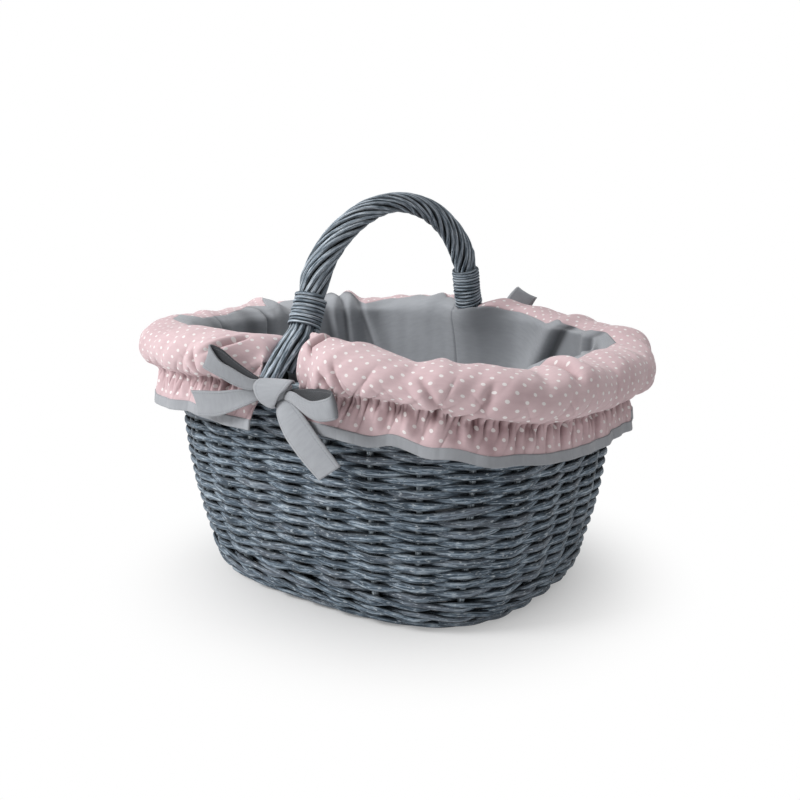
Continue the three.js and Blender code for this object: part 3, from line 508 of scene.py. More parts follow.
def smooth_line(corners, samples):
    """Evenly spaced points on a smooth curve through some corners."""
    ends = [2 * corners[0] - corners[1], *corners, 2 * corners[-1] - corners[-2]]
    curve = []
    for near in zip(ends, ends[1:], ends[2:], ends[3:]):
        times = np.cumsum([0] + [np.linalg.norm(b - a) ** 0.5 for a, b in zip(near, near[1:])])
        t = np.linspace(times[1], times[2], 41)[:-1, None]
        for first, last in (((0, 1, 2), (1, 2, 3)), ((0, 1), (2, 3)), ((1,), (2,))):
            near = [((times[j] - t) * a + (t - times[i]) * b) / (times[j] - times[i])
                    for i, j, a, b in zip(first, last, near, near[1:])]
        curve.append(near[0])
    curve = np.concatenate([*curve, [corners[-1]]])
    lengths = distances(curve)
    at = np.linspace(0, lengths[-1], samples)
    return np.stack([np.interp(at, lengths, curve[:, k]) for k in range(3)], -1)


legs = [[np.array([0, side * (RIM_HALF_WIDTH + outward), BORDER_TOP + height])
         for outward, height in leg] for side, leg in ((-1, NEAR_LEG), (1, FAR_LEG))]
handle_line = smooth_line([*legs[0], np.array([0, 0, BORDER_TOP + HANDLE_CROWN]), *legs[1][::-1]],
                          801)
handle_shares = np.linspace(0, 1, len(handle_line))
HANDLE_LENGTH = distances(handle_line)[-1]


def handle_at(share):
    return np.stack([np.interp(share, handle_shares, handle_line[:, k]) for k in range(3)], -1)


def handle_share(height):
    """Share of the handle's length at which it first reaches a height above the border."""
    climb = handle_line[:len(handle_line) // 2, 2] - BORDER_TOP
    return float(np.interp(height, climb, handle_shares[:len(climb)]))


def leg_in_wall(place):
    angle, heights = place_angle(place), np.linspace(WALE_TOP - 12, WALL_TOP + 0.3, 24)
    top = on_wall(angle, BORDER_TOP + 0.3, STAKE_LINE, 0.0)
    return np.concatenate([on_wall(angle, heights, STAKE_LINE), top[None]])


start = handle_share(CORE_FOOT)
arch = handle_at(np.linspace(start, 1 - start, 90))
near_end, far_end = leg_in_wall(NEAR_PLACE), leg_in_wall(FAR_PLACE)[::-1]
path = np.concatenate([near_end, arch, far_end])
from_end = np.arange(len(path)) - len(near_end)
stout = np.clip(np.minimum(from_end, from_end[::-1]) / 8, 0, 1)
thickness = lerp(STAKE_DIAMETER, CORE_DIAMETER, stout)
skin = Skin()
# The core is painted fully in shade, near black, inside the rope
skin.rod(path, (1, 0, 0), thickness, thickness, 1.0)
show_rods(skin, "handle_core", handle_willow)

# Handle rope: thirteen willow rods twisted round the core. They run straight under the bindings
# and down to the rim, where they are cut off on top of the border.
STRANDS = 13
ROPE_TURNS, ROPE_EASE = 1.75, 0.03
ROPE_FOOT, ROPE_BOUND, ROPE_LEG, ROPE_CROWN = 25, 23, 26, 18.5
STRAND_SHARE, FOOT_STRAND_SHARE = 1.03, 1.16   # of the width that each rod has in the ring
BINDING_START, BINDING_LENGTH, FAR_BINDING_LENGTH = 35, 29, 39

binding_start = handle_share(BINDING_START)
binding_end = binding_start + BINDING_LENGTH / HANDLE_LENGTH


def rope_diameter(share):
    """The rods lie close under the bindings, spread below them and thin out to the crown."""
    stops = [0, binding_start - ROPE_EASE, binding_start - ROPE_EASE / 8,
             binding_end + ROPE_EASE / 8, binding_end + ROPE_EASE, 0.5]
    sizes = [ROPE_FOOT, ROPE_FOOT, ROPE_BOUND, ROPE_BOUND, ROPE_LEG, ROPE_CROWN]
    return np.interp(np.minimum(share, 1 - share), stops, sizes)


rope = Skin()
shares = np.linspace(0.0, 1.0, 360)
centre = handle_at(shares)
along = unit(np.gradient(centre, axis=0))
sideways = np.broadcast_to([1.0, 0.0, 0.0], centre.shape)
cross = np.cross(along, sideways)
for strand in range(STRANDS):
    twist = (np.clip((shares - binding_end) / (1 - 2 * binding_end), 0, 1) * ROPE_TURNS
             + strand / STRANDS) * 2 * math.pi
    twist = twist + 0.07 * np.sin(shares * 37 + strand * 2.4)
    swell = 1 + 0.05 * math.sin(strand * 1.9) + 0.03 * np.sin(shares * 21 + strand)
    ring = rope_diameter(shares) / 2 / (1 + math.sin(math.pi / STRANDS) * STRAND_SHARE)
    packed = np.where(np.minimum(shares, 1 - shares) < binding_start, FOOT_STRAND_SHARE,
                      STRAND_SHARE)
    radius = ring * math.sin(math.pi / STRANDS) * packed * swell
    spoke = sideways * np.cos(twist)[:, None] + cross * np.sin(twist)[:, None]
    path = centre + spoke * (ring * (1 + 0.025 * np.sin(shares * 29 + strand * 1.3)))[:, None]
    lowest = BORDER_TOP + 0.6 + 1.5 * chance.random()
    lowest = np.where(np.abs(path[:, 1]) > RIM_HALF_WIDTH + 5, BORDER_TOP - 3.5, lowest)
    cut = np.flatnonzero(path[:, 2] < lowest + radius * 0.5)
    crown = len(shares) // 2
    kept = slice(cut[cut < crown].max() + 1, cut[cut > crown].min())
    # Painted shade along the crevices between the strands
    rope.rod(path[kept], spoke[kept], 2 * radius[kept], 2 * radius[kept], 0.0, 0.95)
show_rods(rope, "handle_rope", handle_willow)

# Bindings: a thin split willow rod wound tightly round each leg of the handle, above the cuffs. The
# far leg's is longer, with three turns more.
BINDING_ROD, NEAR_TURNS, FAR_TURNS = 3.1, 9, 12
TURN_STEPS, SPLIT_SHARE = 24, 0.85   # points in each turn, and thickness as a share of the width

for name, side, rounds, start in (
        ("near", -1, NEAR_TURNS, binding_start),
        ("far", 1, FAR_TURNS, binding_end - FAR_BINDING_LENGTH / HANDLE_LENGTH)):
    turns = np.linspace(0, rounds, rounds * TURN_STEPS + 1)
    share = lerp(start, binding_end, turns / rounds)
    share = share if side < 0 else 1 - share
    centre = handle_at(share)
    along = unit(handle_at(share + 0.002) - handle_at(share - 0.002)) * -side
    cross = np.cross(along, [1.0, 0.0, 0.0])
    turn = turns[:, None] * 2 * math.pi
    spoke = np.array([[1.0, 0.0, 0.0]]) * np.cos(turn) + cross * np.sin(turn)
    radius = (ROPE_BOUND + BINDING_ROD) / 2 + 0.1 + 0.25 * np.sin(turns * 3.1)
    skin = Skin()
    # Painted shade along the crevices between the turns
    skin.rod(centre + spoke * radius[:, None], spoke, BINDING_ROD * SPLIT_SHARE, BINDING_ROD, 0.0,
             0.95)
    show_rods(skin, f"handle_binding_{name}", handle_willow)

# Lining: a sewn pot of plain grey cotton. It lies on the base, stands against the wall in soft
# folds and rises above the border to a seam inside the crest of the cuffs, and a tongue of it
# stands behind each foot of the handle.
PERIMETER = PLACES * PLACE_SPACING
CLOTH, LINING_FLAT = 1.3, (0.56, 0.62)
LINING_OUT, LINING_FLOOR, FLOOR_GAP = -19.65, 22.3, 2.4
FLOOR_RINGS = (0.0, 0.15, 0.3, 0.45, 0.6, 0.75, 0.88, 0.95, 0.985)
CUFF_LINE = [(LINING_OUT, -9.2), (-19, 12), (-11, 25), (6, 29), (27, 23), (35, 9), (31, -6),
             (19, -16), (21, -35)]   # outward, above the border
OPEN_END = [(LINING_OUT, -9.2), (-19.4, 10), (-15, 26), (-4, 31), (8, 24), (11, 9), (10, -5),
            (12, -14), (20, -35)]
CLOSED_END = [(LINING_OUT, -9.2), (-19.4, 8), (-16, 21), (-9, 24), (-2, 12), (2, 3), (5, -5),
              (11, -15), (16, -35)]
TIGHT_LINE = [(LINING_OUT, -9.2), (-19.4, 2), (-16, 6), (-8, 6), (1, 5), (3.5, 1), (4, -6),
              (8, -14), (12, -35)]
CUFF_GATHER, CUFF_EDGE = 7, 8       # places along those lines
OPEN_REACH, CLOSED_REACH, END_ROUND = 50, 42, 12
CUFF_COLUMNS, RIGHT_END_TUCK = 900, 8
# Half the width of the slit on the side that opens, at places along the cuff's line.
OPEN_SLIT = [(0, 16), (2.1, 17), (2.8, 30), (3.2, 32), (3.7, 29), (4.5, 27), (5.2, 26), (6.2, 27),
             (CUFF_EDGE, 38)]
CLOSED_SLIT = [(0, 14.6), (CUFF_EDGE, 16.5)]
# How much higher the roll's crest, the gather and the hem sit at each stake place.
CREST_RISE = [-19.9, -19.5, -22.8, -13.5, -17.5, -12, -4.2, 1.3, -5.9, -5.7, -12.2, -7.3, -10.7,
              -9.3, -9.5, -8.7, -6, -5, -2.1, 2.5, 2.6, 8, 5.7, 5, -5, -7.4, -16.7, -13.5]
GATHER_RISE = [-22.4, -22, -26, -20, -16, -11, -7, -5, -6, -8, -9, -8, -9, -8, -8, -7, -5, -3.9,
               2.5, 4.4, 5.2, 0.2, 1.6, 8.7, 3.4, -7.1, -16.6, -19.2]
HEM_RISE = [-27, -26, -30, -25, -20, -14, -9, -7, -8, -9, -10, -9, -10, -9, -9, -8, -7, -6.9,
            -4.1, 0.8, -3.1, -3.4, 5.2, 2.7, -0.4, -10.6, -19.9, -24.4]
# Short rises and dips: stake place, spread, height.
CREST_BUMPS = [(24.42, 0.2, 3.5), (23.98, 0.16, -2), (26.62, 0.12, -4), (26.95, 0.16, 3),
               (27.55, 0.25, -2), (28.4, 0.3, 2.5), (10.8, 0.16, 3), (11.25, 0.15, 3.5),
               (11.03, 0.1, -3), (10.55, 0.15, -3), (13.15, 0.16, 4), (12.7, 0.2, -4),
               (8.35, 0.25, 4), (6.45, 0.3, 5), (4.5, 0.22, 3), (7.3, 0.42, -9), (21.0, 0.3, -12)]
HEM_BUMPS = [(23.3, 0.22, -2), (23.66, 0.2, 1.8), (24.2, 0.26, -3.5), (25.1, 0.35, -3)]
SEAM_LINE = [(0, 2.2), (1.6, 1.9), (2.2, 2.6), (2.9, 2.15), (3.7, 1.9), (4.45, 2.25),
             (4.62, 2.25), (4.9, 1.5), (5.8, 1.7), (6.5, 1.8), (7.5, 2.6), (8.2, 3), (8.7, 2.9),
             (9.1, 2.45), (9.8, 2.5), (10.4, 2.0), (10.75, 3.2), (11.3, 3.3), (12.2, 3.2), (13, 3),
             (13.4, 2.4), (13.8, 2.75), (14.9, 2.1), (15.95, 2.1), (16.12, 2.9), (16.7, 2.9),
             (17.2, 2.3), (20, 2.25), (22.5, 2.1), (25, 2.3), (28, 2.2)]
# Folds of the lining: place and height of their two ends, depth and width. One with a depth below
# nought is a groove. A fold is steep towards the higher places, or the lower if its width is below
# nought.
LINING_FOLDS = [(11.45, 250, 11.0, 150, 7, 11), (10.9, 250, 10.6, 150, 6, 9),
                (10.45, 250, 9.6, 150, 8, 10), (4.25, 250, 5.4, 165, 13, -15),
                (3.0, 250, 3.3, 180, 7, -11), (13.8, 255, 13.85, 165, 7, 27),
                (13.8, 255, 13.85, 185, -6.5, 5), (15.35, 255, 15.4, 170, 4, 20),
                (15.35, 255, 15.4, 185, -4.5, 5), (18.2, 245, 17.6, 150, 7, 12),
                (24.4, 245, 25.3, 150, 8, 13), (1.2, 245, 0.6, 150, 6, 12),
                (26.7, 245, 26.9, 150, 5, 10)]
LINING_SEAMS, SEAM_WIDTH = (7.5, 21.5), 1.2
LINING_LEANS = ((FAR_PLACE, 31), (NEAR_PLACE, 21))   # how far it leans in behind the handle's feet
LEAN_START, LEAN_HEIGHT, LEAN_REACH = 140, 105, 30


def curve_at(corners, at):
    """Points of a smooth curve through corners, at places counted along them."""
    corners = np.asarray(corners, float)
    ends = np.concatenate([2 * corners[:1] - corners[1:2], corners,
                           2 * corners[-1:] - corners[-2:-1]])
    lower = np.clip(np.floor(at).astype(int), 0, len(corners) - 2)
    return smooth_step(*(ends[lower + k] for k in range(4)), (at - lower)[..., None])


def between_places(first, second):
    """Distance along the rim from the second place to the first, the short way round."""
    return ((first - second + PLACES / 2) % PLACES - PLACES / 2) * PLACE_SPACING


def round_rim(values, place, bumps=()):
    """A smooth value at any place from one value at each stake place, with bumps on it."""
    lower = np.floor(place).astype(int)
    total = smooth_step(*(np.take(values, (lower + k) % PLACES) for k in (-1, 0, 1, 2)),
                        place - lower)
    for middle, spread, size in bumps:
        away = between_places(place, middle) / PLACE_SPACING
        total = total + size * np.exp(-(away / spread) ** 2)
    return total


def ripple(run, length, seed, octaves=3):
    """Soft uneven waves round the rim, about -1 to 1, the same for the same seed."""
    dice = np.random.default_rng(seed)
    total = 0.0
    for octave in range(octaves):
        for _ in range(3):
            waves = max(1, round(PERIMETER / (length / 2 ** octave * dice.uniform(0.7, 1.4))))
            total = total + 0.45 / 1.7 ** octave * np.sin(2 * math.pi * waves * run / PERIMETER
                                                          + dice.uniform(0, 6.3))
    return total


def valleys(run, length, seed, sharpness=2.5):
    """Narrow creases, 1 at their bottom, about as far apart as half the length."""
    return (1 - np.abs(np.tanh(sharpness * ripple(run, length, seed, 2)))) ** 2


def angle_place(angle):
    turns = np.floor(np.asarray(angle, float) / (2 * math.pi))
    within = angle - turns * 2 * math.pi
    return PLACES * turns + np.interp(within, table_angles, table_lengths) / PLACE_SPACING


def cuff_ends(line):
    """First and last place of a cuff's columns: its slit at the handle opens towards the hem."""
    open_slit = np.interp(line, *zip(*OPEN_SLIT))
    closed_slit = np.interp(line, *zip(*CLOSED_SLIT))
    return (angle_place(-math.pi / 2 + np.arctan(open_slit / RIM_HALF_WIDTH)),
            angle_place(math.pi / 2 - np.arctan(closed_slit / RIM_HALF_WIDTH)))


def cuff_places(half, share, line):
    first, last = cuff_ends(line)
    return lerp(first, last, share) + half * PLACES / 2


def cuff_profile(share, line):
    """Outward and upward places of the cuff's pattern, pulled in to the wall at its two ends."""
    first, last = cuff_ends(line)
    from_open = share * (last - first) * PLACE_SPACING
    from_closed = (1 - share) * (last - first) * PLACE_SPACING
    profile = curve_at(CUFF_LINE, line)
    for end, away, reach in ((OPEN_END, from_open, OPEN_REACH),
                             (CLOSED_END, from_closed, CLOSED_REACH)):
        pull = 1 - blend(0, reach, away)
        profile = profile + pull[..., None] * curve_at(np.subtract(end, CUFF_LINE), line)
    inside = np.clip(np.minimum(from_open, from_closed) / END_ROUND, 0, 1)
    shut = (1 - np.sqrt(1 - (1 - inside) ** 2)) * blend(2.2, 3.2, line) * (1 - blend(7, 7.6, line))
    return lerp(profile, curve_at(TIGHT_LINE, line), shut[..., None])


def rim_rise(place, line):
    crest = round_rim(CREST_RISE, place, CREST_BUMPS) * blend(0.3, 2, line)
    return lerp(lerp(crest, round_rim(GATHER_RISE, place), blend(4, 6.5, line)),
                round_rim(HEM_RISE, place, HEM_BUMPS), blend(7, 8, line))


def lining_fold(place, z):
    """How far the lining stands in from its pattern, and the painted shade of its creases and
    seams, 0 to 1.
    """
    run = place * PLACE_SPACING
    fold = 1.7 * (1 + ripple(run + 0.25 * z, 150, 51, 2)) + 0.35 * (1 + ripple(run, 40, 52, 2))
    crease = 0.0 * fold
    for top_place, top, low_place, low, depth, width in LINING_FOLDS:
        share = (top - z) / (top - low)
        away = between_places(place, lerp(top_place, low_place, share)) / width
        away = np.where(away > 0, away * 1.7, away * 0.8)
        fade = (1 - blend(0.75, 1.4, share)) * blend(-0.35, 0.1, share)
        fold = fold + depth * np.exp(-away ** 2) * fade
        foot = 1.3 if depth > 0 else 0
        # Painted shade at the foot of each fold, or along a groove
        crease = np.maximum(crease, 0.1 * abs(depth) * fade * np.exp(-((away - foot) / 0.6) ** 2))
    for seam_place in LINING_SEAMS:
        seam = np.exp(-(between_places(place, seam_place) / SEAM_WIDTH) ** 2)
        # Painted shade along each seam's groove
        fold, crease = fold - 1.6 * seam, np.maximum(crease, 0.5 * seam)
    return fold * blend(LINING_FLOOR, 100, z), crease


def lining_lean(place, z):
    """How far the lining leans in behind the handle's feet."""
    rise = (np.clip(z - LEAN_START, 0, 110) / LEAN_HEIGHT) ** 2.2
    return sum(lean * rise * np.exp(-(between_places(place, foot_place) / LEAN_REACH) ** 2)
               for foot_place, lean in LINING_LEANS)


def cuff_points(half, share, line, swell=0.0, hang=0.0):
    """Points of a cuff and its facing. Swell moves them square to the cloth, hang along it."""
    share, line = np.broadcast_arrays(share, line)
    place = cuff_places(half, share, line)
    profile = cuff_profile(share, line)
    after, before = (curve_at(CUFF_LINE, np.clip(line + ahead, 0, CUFF_EDGE))
                     for ahead in (0.05, -0.05))
    step = unit(after - before)
    right_end = 1 - blend(1.5, 4.5, np.abs(between_places(place, 0)) / PLACE_SPACING)
    outward = profile[..., 0] - step[..., 1] * swell + step[..., 0] * hang
    outward = outward - RIGHT_END_TUCK * right_end * blend(5.6, 7, line)
    height = profile[..., 1] + step[..., 0] * swell + step[..., 1] * hang + rim_rise(place, line)
    z = BORDER_TOP + height
    outward = outward - lining_fold(place, z)[0] * (1 - blend(2.0, 3.0, line))
    outward = outward - lining_lean(place, z) * (1 - blend(1.7, 2.9, line))
    return on_wall(place_angle(place), z, outward, 0.0)


def seam_line(half, share):
    """Where grey cotton meets the dotted cotton, counted along the cuff's line."""
    place = cuff_places(half, share, 2.2) % PLACES
    return np.interp(place, *zip(*SEAM_LINE))


# Deep dents of the cuffs: stake places from top to bottom, depth, width, and where along the cuff's
# line they begin and end. The first three are beside the near leg, two more behind the near bow.
CUFF_DENTS = [([22.2, 22.16, 22.05, 22.22, 22.5], 7.5, 2.0, 2.5, 4.7),
              ([22.75, 22.75, 22.75, 22.8, 22.95], 3.5, 1.8, 4.6, 7.2),
              ([22.4, 22.4, 22.45, 22.5, 22.7], 3.5, 2.0, 4.9, 7.2),
              ([20.25, 20.2, 20.0, 19.75, 19.7], 7.5, 2.3, 3.3, 4.9),
              ([19.5, 19.5, 19.5, 19.5, 19.6], 4.0, 2.2, 4.6, 7.0),
              ([26.75, 26.72, 26.6, 26.5, 26.4], 3.5, 2.6, 2.4, 4.4),
              ([25.2, 25.2, 25.1, 25.0, 24.9], 3.0, 2.4, 4.4, 6.8),
              ([24.0, 24.0, 24.1, 24.2, 24.35], 3.0, 2.4, 4.2, 6.8),
              ([8.08, 8.12, 8.5, 8.9, 9.2], 5.0, 3.0, 2.8, 6.0)]
DENT_LINES = [2.5, 3.3, 3.9, 4.7, 6]
PUCKER_DEPTH = PLEAT_DEPTH = 3.8
GATHER_DEPTH, PIPE_DEPTH = 2.0, 2.3


def cuff_relief(half, share, line):
    """How far the cuff stands off its pattern in puffs, creases, gathers and the ruffle's waves,
    and the painted shade of its puckers, pleats, gather and dents, 0 to 1."""
    run = cuff_places(half, share, line) * PLACE_SPACING
    roll = blend(1.8, 3.2, line) * (1 - blend(5.8, 6.9, line))
    puff = 1.6 * ripple(run, 110, 21) + 0.9 * ripple(run + 9 * line, 38, 22, 2)
    crease = (2.2 * valleys(run + 5 * (line - 5), 95, 31) * blend(3.6, 5.2, line)
              + 1.5 * valleys(run - 7 * (line - 5), 60, 32) * blend(4.2, 6, line)
              + 0.7 * valleys(run + 12 * line, 150, 33))
    from_gather = line - CUFF_GATHER + 0.07 * ripple(run, 30, 46, 1)

    def beside_gather(above, below):
        return np.exp(-(np.maximum(-from_gather, 0) / above) ** 2
                      - (np.maximum(from_gather, 0) / below) ** 2)

    gather = beside_gather(0.3, 0.22)
    crinkle = np.sin(2 * math.pi * run / 4.6 + 2.2 * ripple(run, 19, 41) + 2 * line)
    pucker = valleys(run + 5 * from_gather, 15, 43, 1.2) * beside_gather(0.55, 0.4)
    pleat = valleys(run + 9 * from_gather, 40, 44, 1.7) * beside_gather(1.2, 0.75)
    pipes = ripple(run, 19, 45, 2) * blend(7.02, 7.3, line) * (1 - blend(7.45, 8, line))
    wave = blend(7.1, 8.2, line) * (2.4 * ripple(run, 75, 47, 2) + 0.7 * ripple(run, 30, 48, 1))
    swell = (roll * (puff - crease) - GATHER_DEPTH * gather + 1.2 * gather * crinkle
             - PUCKER_DEPTH * pucker - PLEAT_DEPTH * pleat + PIPE_DEPTH * pipes + wave)
    # Painted shade in the puckers, pleats and gather
    depth = 0.72 * pucker + 0.5 * pleat + 0.2 * gather * (1 - crinkle)
    for places, size, width, top, low in CUFF_DENTS:
        at = np.interp(line, DENT_LINES, places)
        away = between_places(run / PLACE_SPACING, at) / width
        valley = np.exp(-away ** 2) - 0.35 * np.exp(-((away + 2.2) / 1.3) ** 2)
        valley = valley * blend(top - 0.5, top + 0.5, line) * (1 - blend(low - 1.4, low, line))
        # A dent is painted in shade by its depth
        swell, depth = swell - size * valley, depth + 0.11 * size * valley
    return swell, np.clip(depth, 0, 1)


def facing(half, share, line):
    return cuff_points(half, share, line, cuff_relief(half, share, line)[0])


COTTON_RELIEF = 0.00012   # in metres


def woven_cotton(finish, light, shadow, crease="606266"):
    """Plain weave in two threads per half millimetre, with soft uneven tone, and painted shade in
    the crease colour where the cloth lies in a crease.
    """
    thread, weft = (finish.node("ShaderNodeTexWave", {"wave_type": "BANDS", "bands_direction": way},
                                {"Vector": finish.uv, "Scale": 620.0, "Distortion": 0.6})
                    for way in "XY")
    slub = finish.noise((350, 90, 0), 2)
    tone = finish.between(finish.noise((9, 9, 0), 3) + slub * 0.35, 0.4, 0.95)
    finish.set(Roughness=0.88, Sheen_Weight=0.25, Sheen_Roughness=0.5, Specular_IOR_Level=0.2)
    shade = finish.mix(tone, colour(shadow), colour(light))
    # Painted shade: the crease colour where the cloth lies in a crease
    return (finish.mix(finish.hollow() * 0.88, shade, colour(crease)),
            thread * 0.4 + weft * 0.4 + slub * 0.3)


def plain_cotton(name, light, shadow, relief):
    finish = Finish(name)
    shade, weave_height = woven_cotton(finish, light, shadow)
    finish.set(Base_Color=shade)
    finish.bump(weave_height, relief)
    return finish


def show_sheet(skin, node, name, finish, thickness):
    """Shows a sheet, with half its thickness to each side, in place of a solid of the frame."""
    piece = skin.object(name, finish.material)
    solid = piece.modifiers.new("cloth", "SOLIDIFY")
    solid.thickness, solid.offset = thickness * MM, 0.0
    solid.use_quality_normals = True
    bpy.context.view_layer.objects.active = piece
    bpy.ops.object.modifier_apply(modifier=solid.name)
    dress(piece, node)
    return piece


grey_cotton = plain_cotton("grey_cotton", "a6a9ae", "979a9f", COTTON_RELIEF)

# The lining is one closed grid: a part behind each cuff and, next to it, the tongue behind a foot
# of the handle. Each column runs from the middle of the base up to the cuffs' seam.
share = np.linspace(0, 1, CUFF_COLUMNS // 2)[None]
across = np.linspace(0, 1, 26)[None, 1:-1]
up = np.linspace(0, 1, 30)[:, None]
parts, part_places = [], []
for half in (0, 1):
    parts.append(facing(half, share, seam_line(half, share) * up))
    part_places.append(cuff_places(half, share, 0.0)[0])
    other = 1 - half
    line = lerp(seam_line(half, 1.0), seam_line(other, 0.0), across) * up
    place = lerp(cuff_places(half, 1.0, line),
                 cuff_places(other, 0.0, line) + PLACES * half, across)
    profile = lerp(curve_at(CLOSED_END, line), curve_at(OPEN_END, line), across[..., None])
    height = BORDER_TOP + profile[..., 1] + rim_rise(place, line)
    inward = lining_fold(place, height)[0] + lining_lean(place, height)
    parts.append(on_wall(place_angle(place), height, profile[..., 0] - inward, 0.0))
    part_places.append(place[0])
top_part, columns = np.concatenate(parts, axis=1), np.concatenate(part_places)
angle = place_angle(columns)
rows = [inside_foot(angle, z, FLOOR_GAP) for z in (LINING_FLOOR + 1.5, LINING_FLOOR + 6)]
rows += [on_wall(angle, z, LINING_OUT - lining_fold(columns, z)[0] - lining_lean(columns, z))
         for z in np.linspace(WALE_TOP + 2, BORDER_TOP + CUFF_LINE[0][1], 48)[:-1]]
floor_rows = []
for part in FLOOR_RINGS:
    ring = rows[0] * (part, part, 1)
    ring[:, 2] = LINING_FLOOR + 0.5 * part ** 2 \
        + part * (0.6 + 0.5 * ripple(columns * PLACE_SPACING, 90, 55, 2))
    floor_rows.append(ring)
points = np.concatenate([np.stack(floor_rows + rows), top_part])
down = distances(points)
lining = Skin()
# The lining is painted in shade in its creases and seams
lining.grid(points, np.concatenate([down, down[:, :1]], axis=1) * MM,
            np.append(columns, columns[0] + PLACES)[None] * PLACE_SPACING * MM,
            lining_fold(columns[None], points[..., 2])[1], around=True)
lining_bag = show_sheet(lining, "lining_bag", "lining_cotton", grey_cotton, CLOTH)

# Cuffs: two lengths of dotted pink cotton sewn to the lining. Each rolls over the border in a soft
# puff, is drawn in by elastic outside it and hangs below in a short ruffle.
DOT_SPACING, DOT_RADIUS, CUFF_FULLNESS = 0.0125, 0.00138, 1.12
CUFF_FLAT, CUFF_HALVES = (0.13, 0.74), (("right", 0), ("left", 1))
pink = Finish("dotted_cotton")


def dots(finish):
    """White dots in staggered rows, as a mask."""
    across, along = (finish.node("ShaderNodeSeparateXYZ", None, {0: finish.uv}, k) for k in (0, 1))
    nearest = []
    for shift in (10.0, 10.0 + DOT_SPACING / 2):
        parts = [((value + shift) * (1 / DOT_SPACING)).math("FRACT") - 0.5
                 for value in (across, along)]
        nearest.append((parts[0] * parts[0] + parts[1] * parts[1]).math("SQRT"))
    size = DOT_RADIUS / DOT_SPACING
    return 1 - finish.between(nearest[0].math("MINIMUM", nearest[1]), size * 0.8, size * 1.15)


# Painted shade in the cuffs' creases is a dark pink
shade, weave_height = woven_cotton(pink, "dbc2c5", "cfb4b8", "78585a")
dot_mask = dots(pink)
pink.set(Base_Color=pink.mix(dot_mask * 0.9, shade, colour("f2eeed")))
pink.bump(weave_height + dot_mask * 0.5, COTTON_RELIEF)

pattern_lines = np.linspace(0, CUFF_EDGE, 400)
pattern_lengths = distances(curve_at(CUFF_LINE, pattern_lines))
for name, half in CUFF_HALVES:
    share = np.linspace(0, 1, CUFF_COLUMNS)[None]
    steps = np.concatenate([np.linspace(0, 0.74, 62)[:-1], np.linspace(0.74, 1, 54)])
    line = lerp(seam_line(half, share), float(CUFF_EDGE), steps[:, None])
    points = facing(half, share, line)
    length = distances(cuff_points(half, share, line))
    pattern = np.interp(line, pattern_lines, pattern_lengths)
    down_cloth = (length - length[-1:] + pattern - pattern_lengths[-1]) / 2
    skin = Skin()
    # The cuffs' painted shade goes with their points
    skin.grid(points, down_cloth * MM,
              cuff_places(half, share, line) * PLACE_SPACING * CUFF_FULLNESS * MM,
              cuff_relief(half, share, line)[1])
    show_sheet(skin, f"cuff_{name}", f"cuff_{name}_cotton", pink, CLOTH)

# Hems: a binding of the ribbons' grey cotton, folded over the lower edge of each ruffle and sewn
# down with stitches too fine to show.
HEM_HEIGHT, HEM_THICKNESS, HEM_OVERLAP = 8.2, 1.9, 1.2
HEM_FROM_STITCH = 6   # keeps it off the stitching in the ribbon's texture
RIBBON_WIDTH, STITCH_INSET = 23, 2.4
grey_ribbon = Finish("grey_ribbon")
# Painted shade in the ribbon's folds is a near-black grey
shade, weave_height = woven_cotton(grey_ribbon, "a7aaaf", "999ca1", "2e3034")
along, across = (grey_ribbon.node("ShaderNodeSeparateXYZ", None, {0: grey_ribbon.uv}, k)
                 for k in (0, 1))
from_middle = (across - RIBBON_WIDTH / 2 * MM).math("ABSOLUTE")
from_stitch = (from_middle - (RIBBON_WIDTH / 2 - STITCH_INSET) * MM).math("ABSOLUTE")
# Painted shade in the stitch's groove, darkest between the thread's dashes
on_stitch = 1 - grey_ribbon.between(from_stitch, 0.0002, 0.0008)
thread_gap = (along * 2300.0).math("SINE")
shade = grey_ribbon.mix(on_stitch * grey_ribbon.between(thread_gap, -0.2, 0.4, 0.3, 0.1), shade,
                        colour("7d8087"))
grey_ribbon.set(Base_Color=shade)
grey_ribbon.bump(weave_height * 0.3 - on_stitch * 0.5, 0.0004)

for name, half in CUFF_HALVES:
    share = np.linspace(0, 1, CUFF_COLUMNS // 2)[None]
    hang = np.linspace(-HEM_OVERLAP, HEM_HEIGHT, 9)[:, None]
    edge = np.full((1, 1), float(CUFF_EDGE))
    run = cuff_places(half, share, edge) * PLACE_SPACING
    swell = cuff_relief(half, share, edge)[0] + 0.3
    swell = swell + 0.05 * np.maximum(0, hang) * ripple(run, 60, 49, 2)
    points = cuff_points(half, share, edge + 0 * hang, swell, hang)
    skin = Skin()
    skin.grid(points, run * MM, (hang + HEM_FROM_STITCH + 0 * run) * MM)
    show_sheet(skin, f"hem_{name}", f"hem_{name}_binding", grey_ribbon,
                            HEM_THICKNESS)

# Elastics: a flat covered elastic in each cuff, threaded through a channel behind the gather that
# it draws in.
ELASTIC_WIDTH, ELASTIC_THICKNESS, ELASTIC_BEHIND = 6, 1.2, 8.8
covered_elastic = plain_cotton("covered_elastic", "dddbd6", "cfcdc8", 0.0002)

for name, half in CUFF_HALVES:
    share = np.linspace(0.004, 0.996, 240)[None]
    height = np.linspace(-ELASTIC_WIDTH / 2, ELASTIC_WIDTH / 2, 5)[:, None]
    line = np.full((1, 1), float(CUFF_GATHER)) + 0 * height
    skin = Skin()
    skin.grid(cuff_points(half, share, line, -ELASTIC_BEHIND, height),
              share * 0.5 + 0 * height, (height + 0 * share) * MM)
    elastic = show_sheet(skin, f"elastic_{name}", f"elastic_{name}_band", covered_elastic,
                         ELASTIC_THICKNESS)

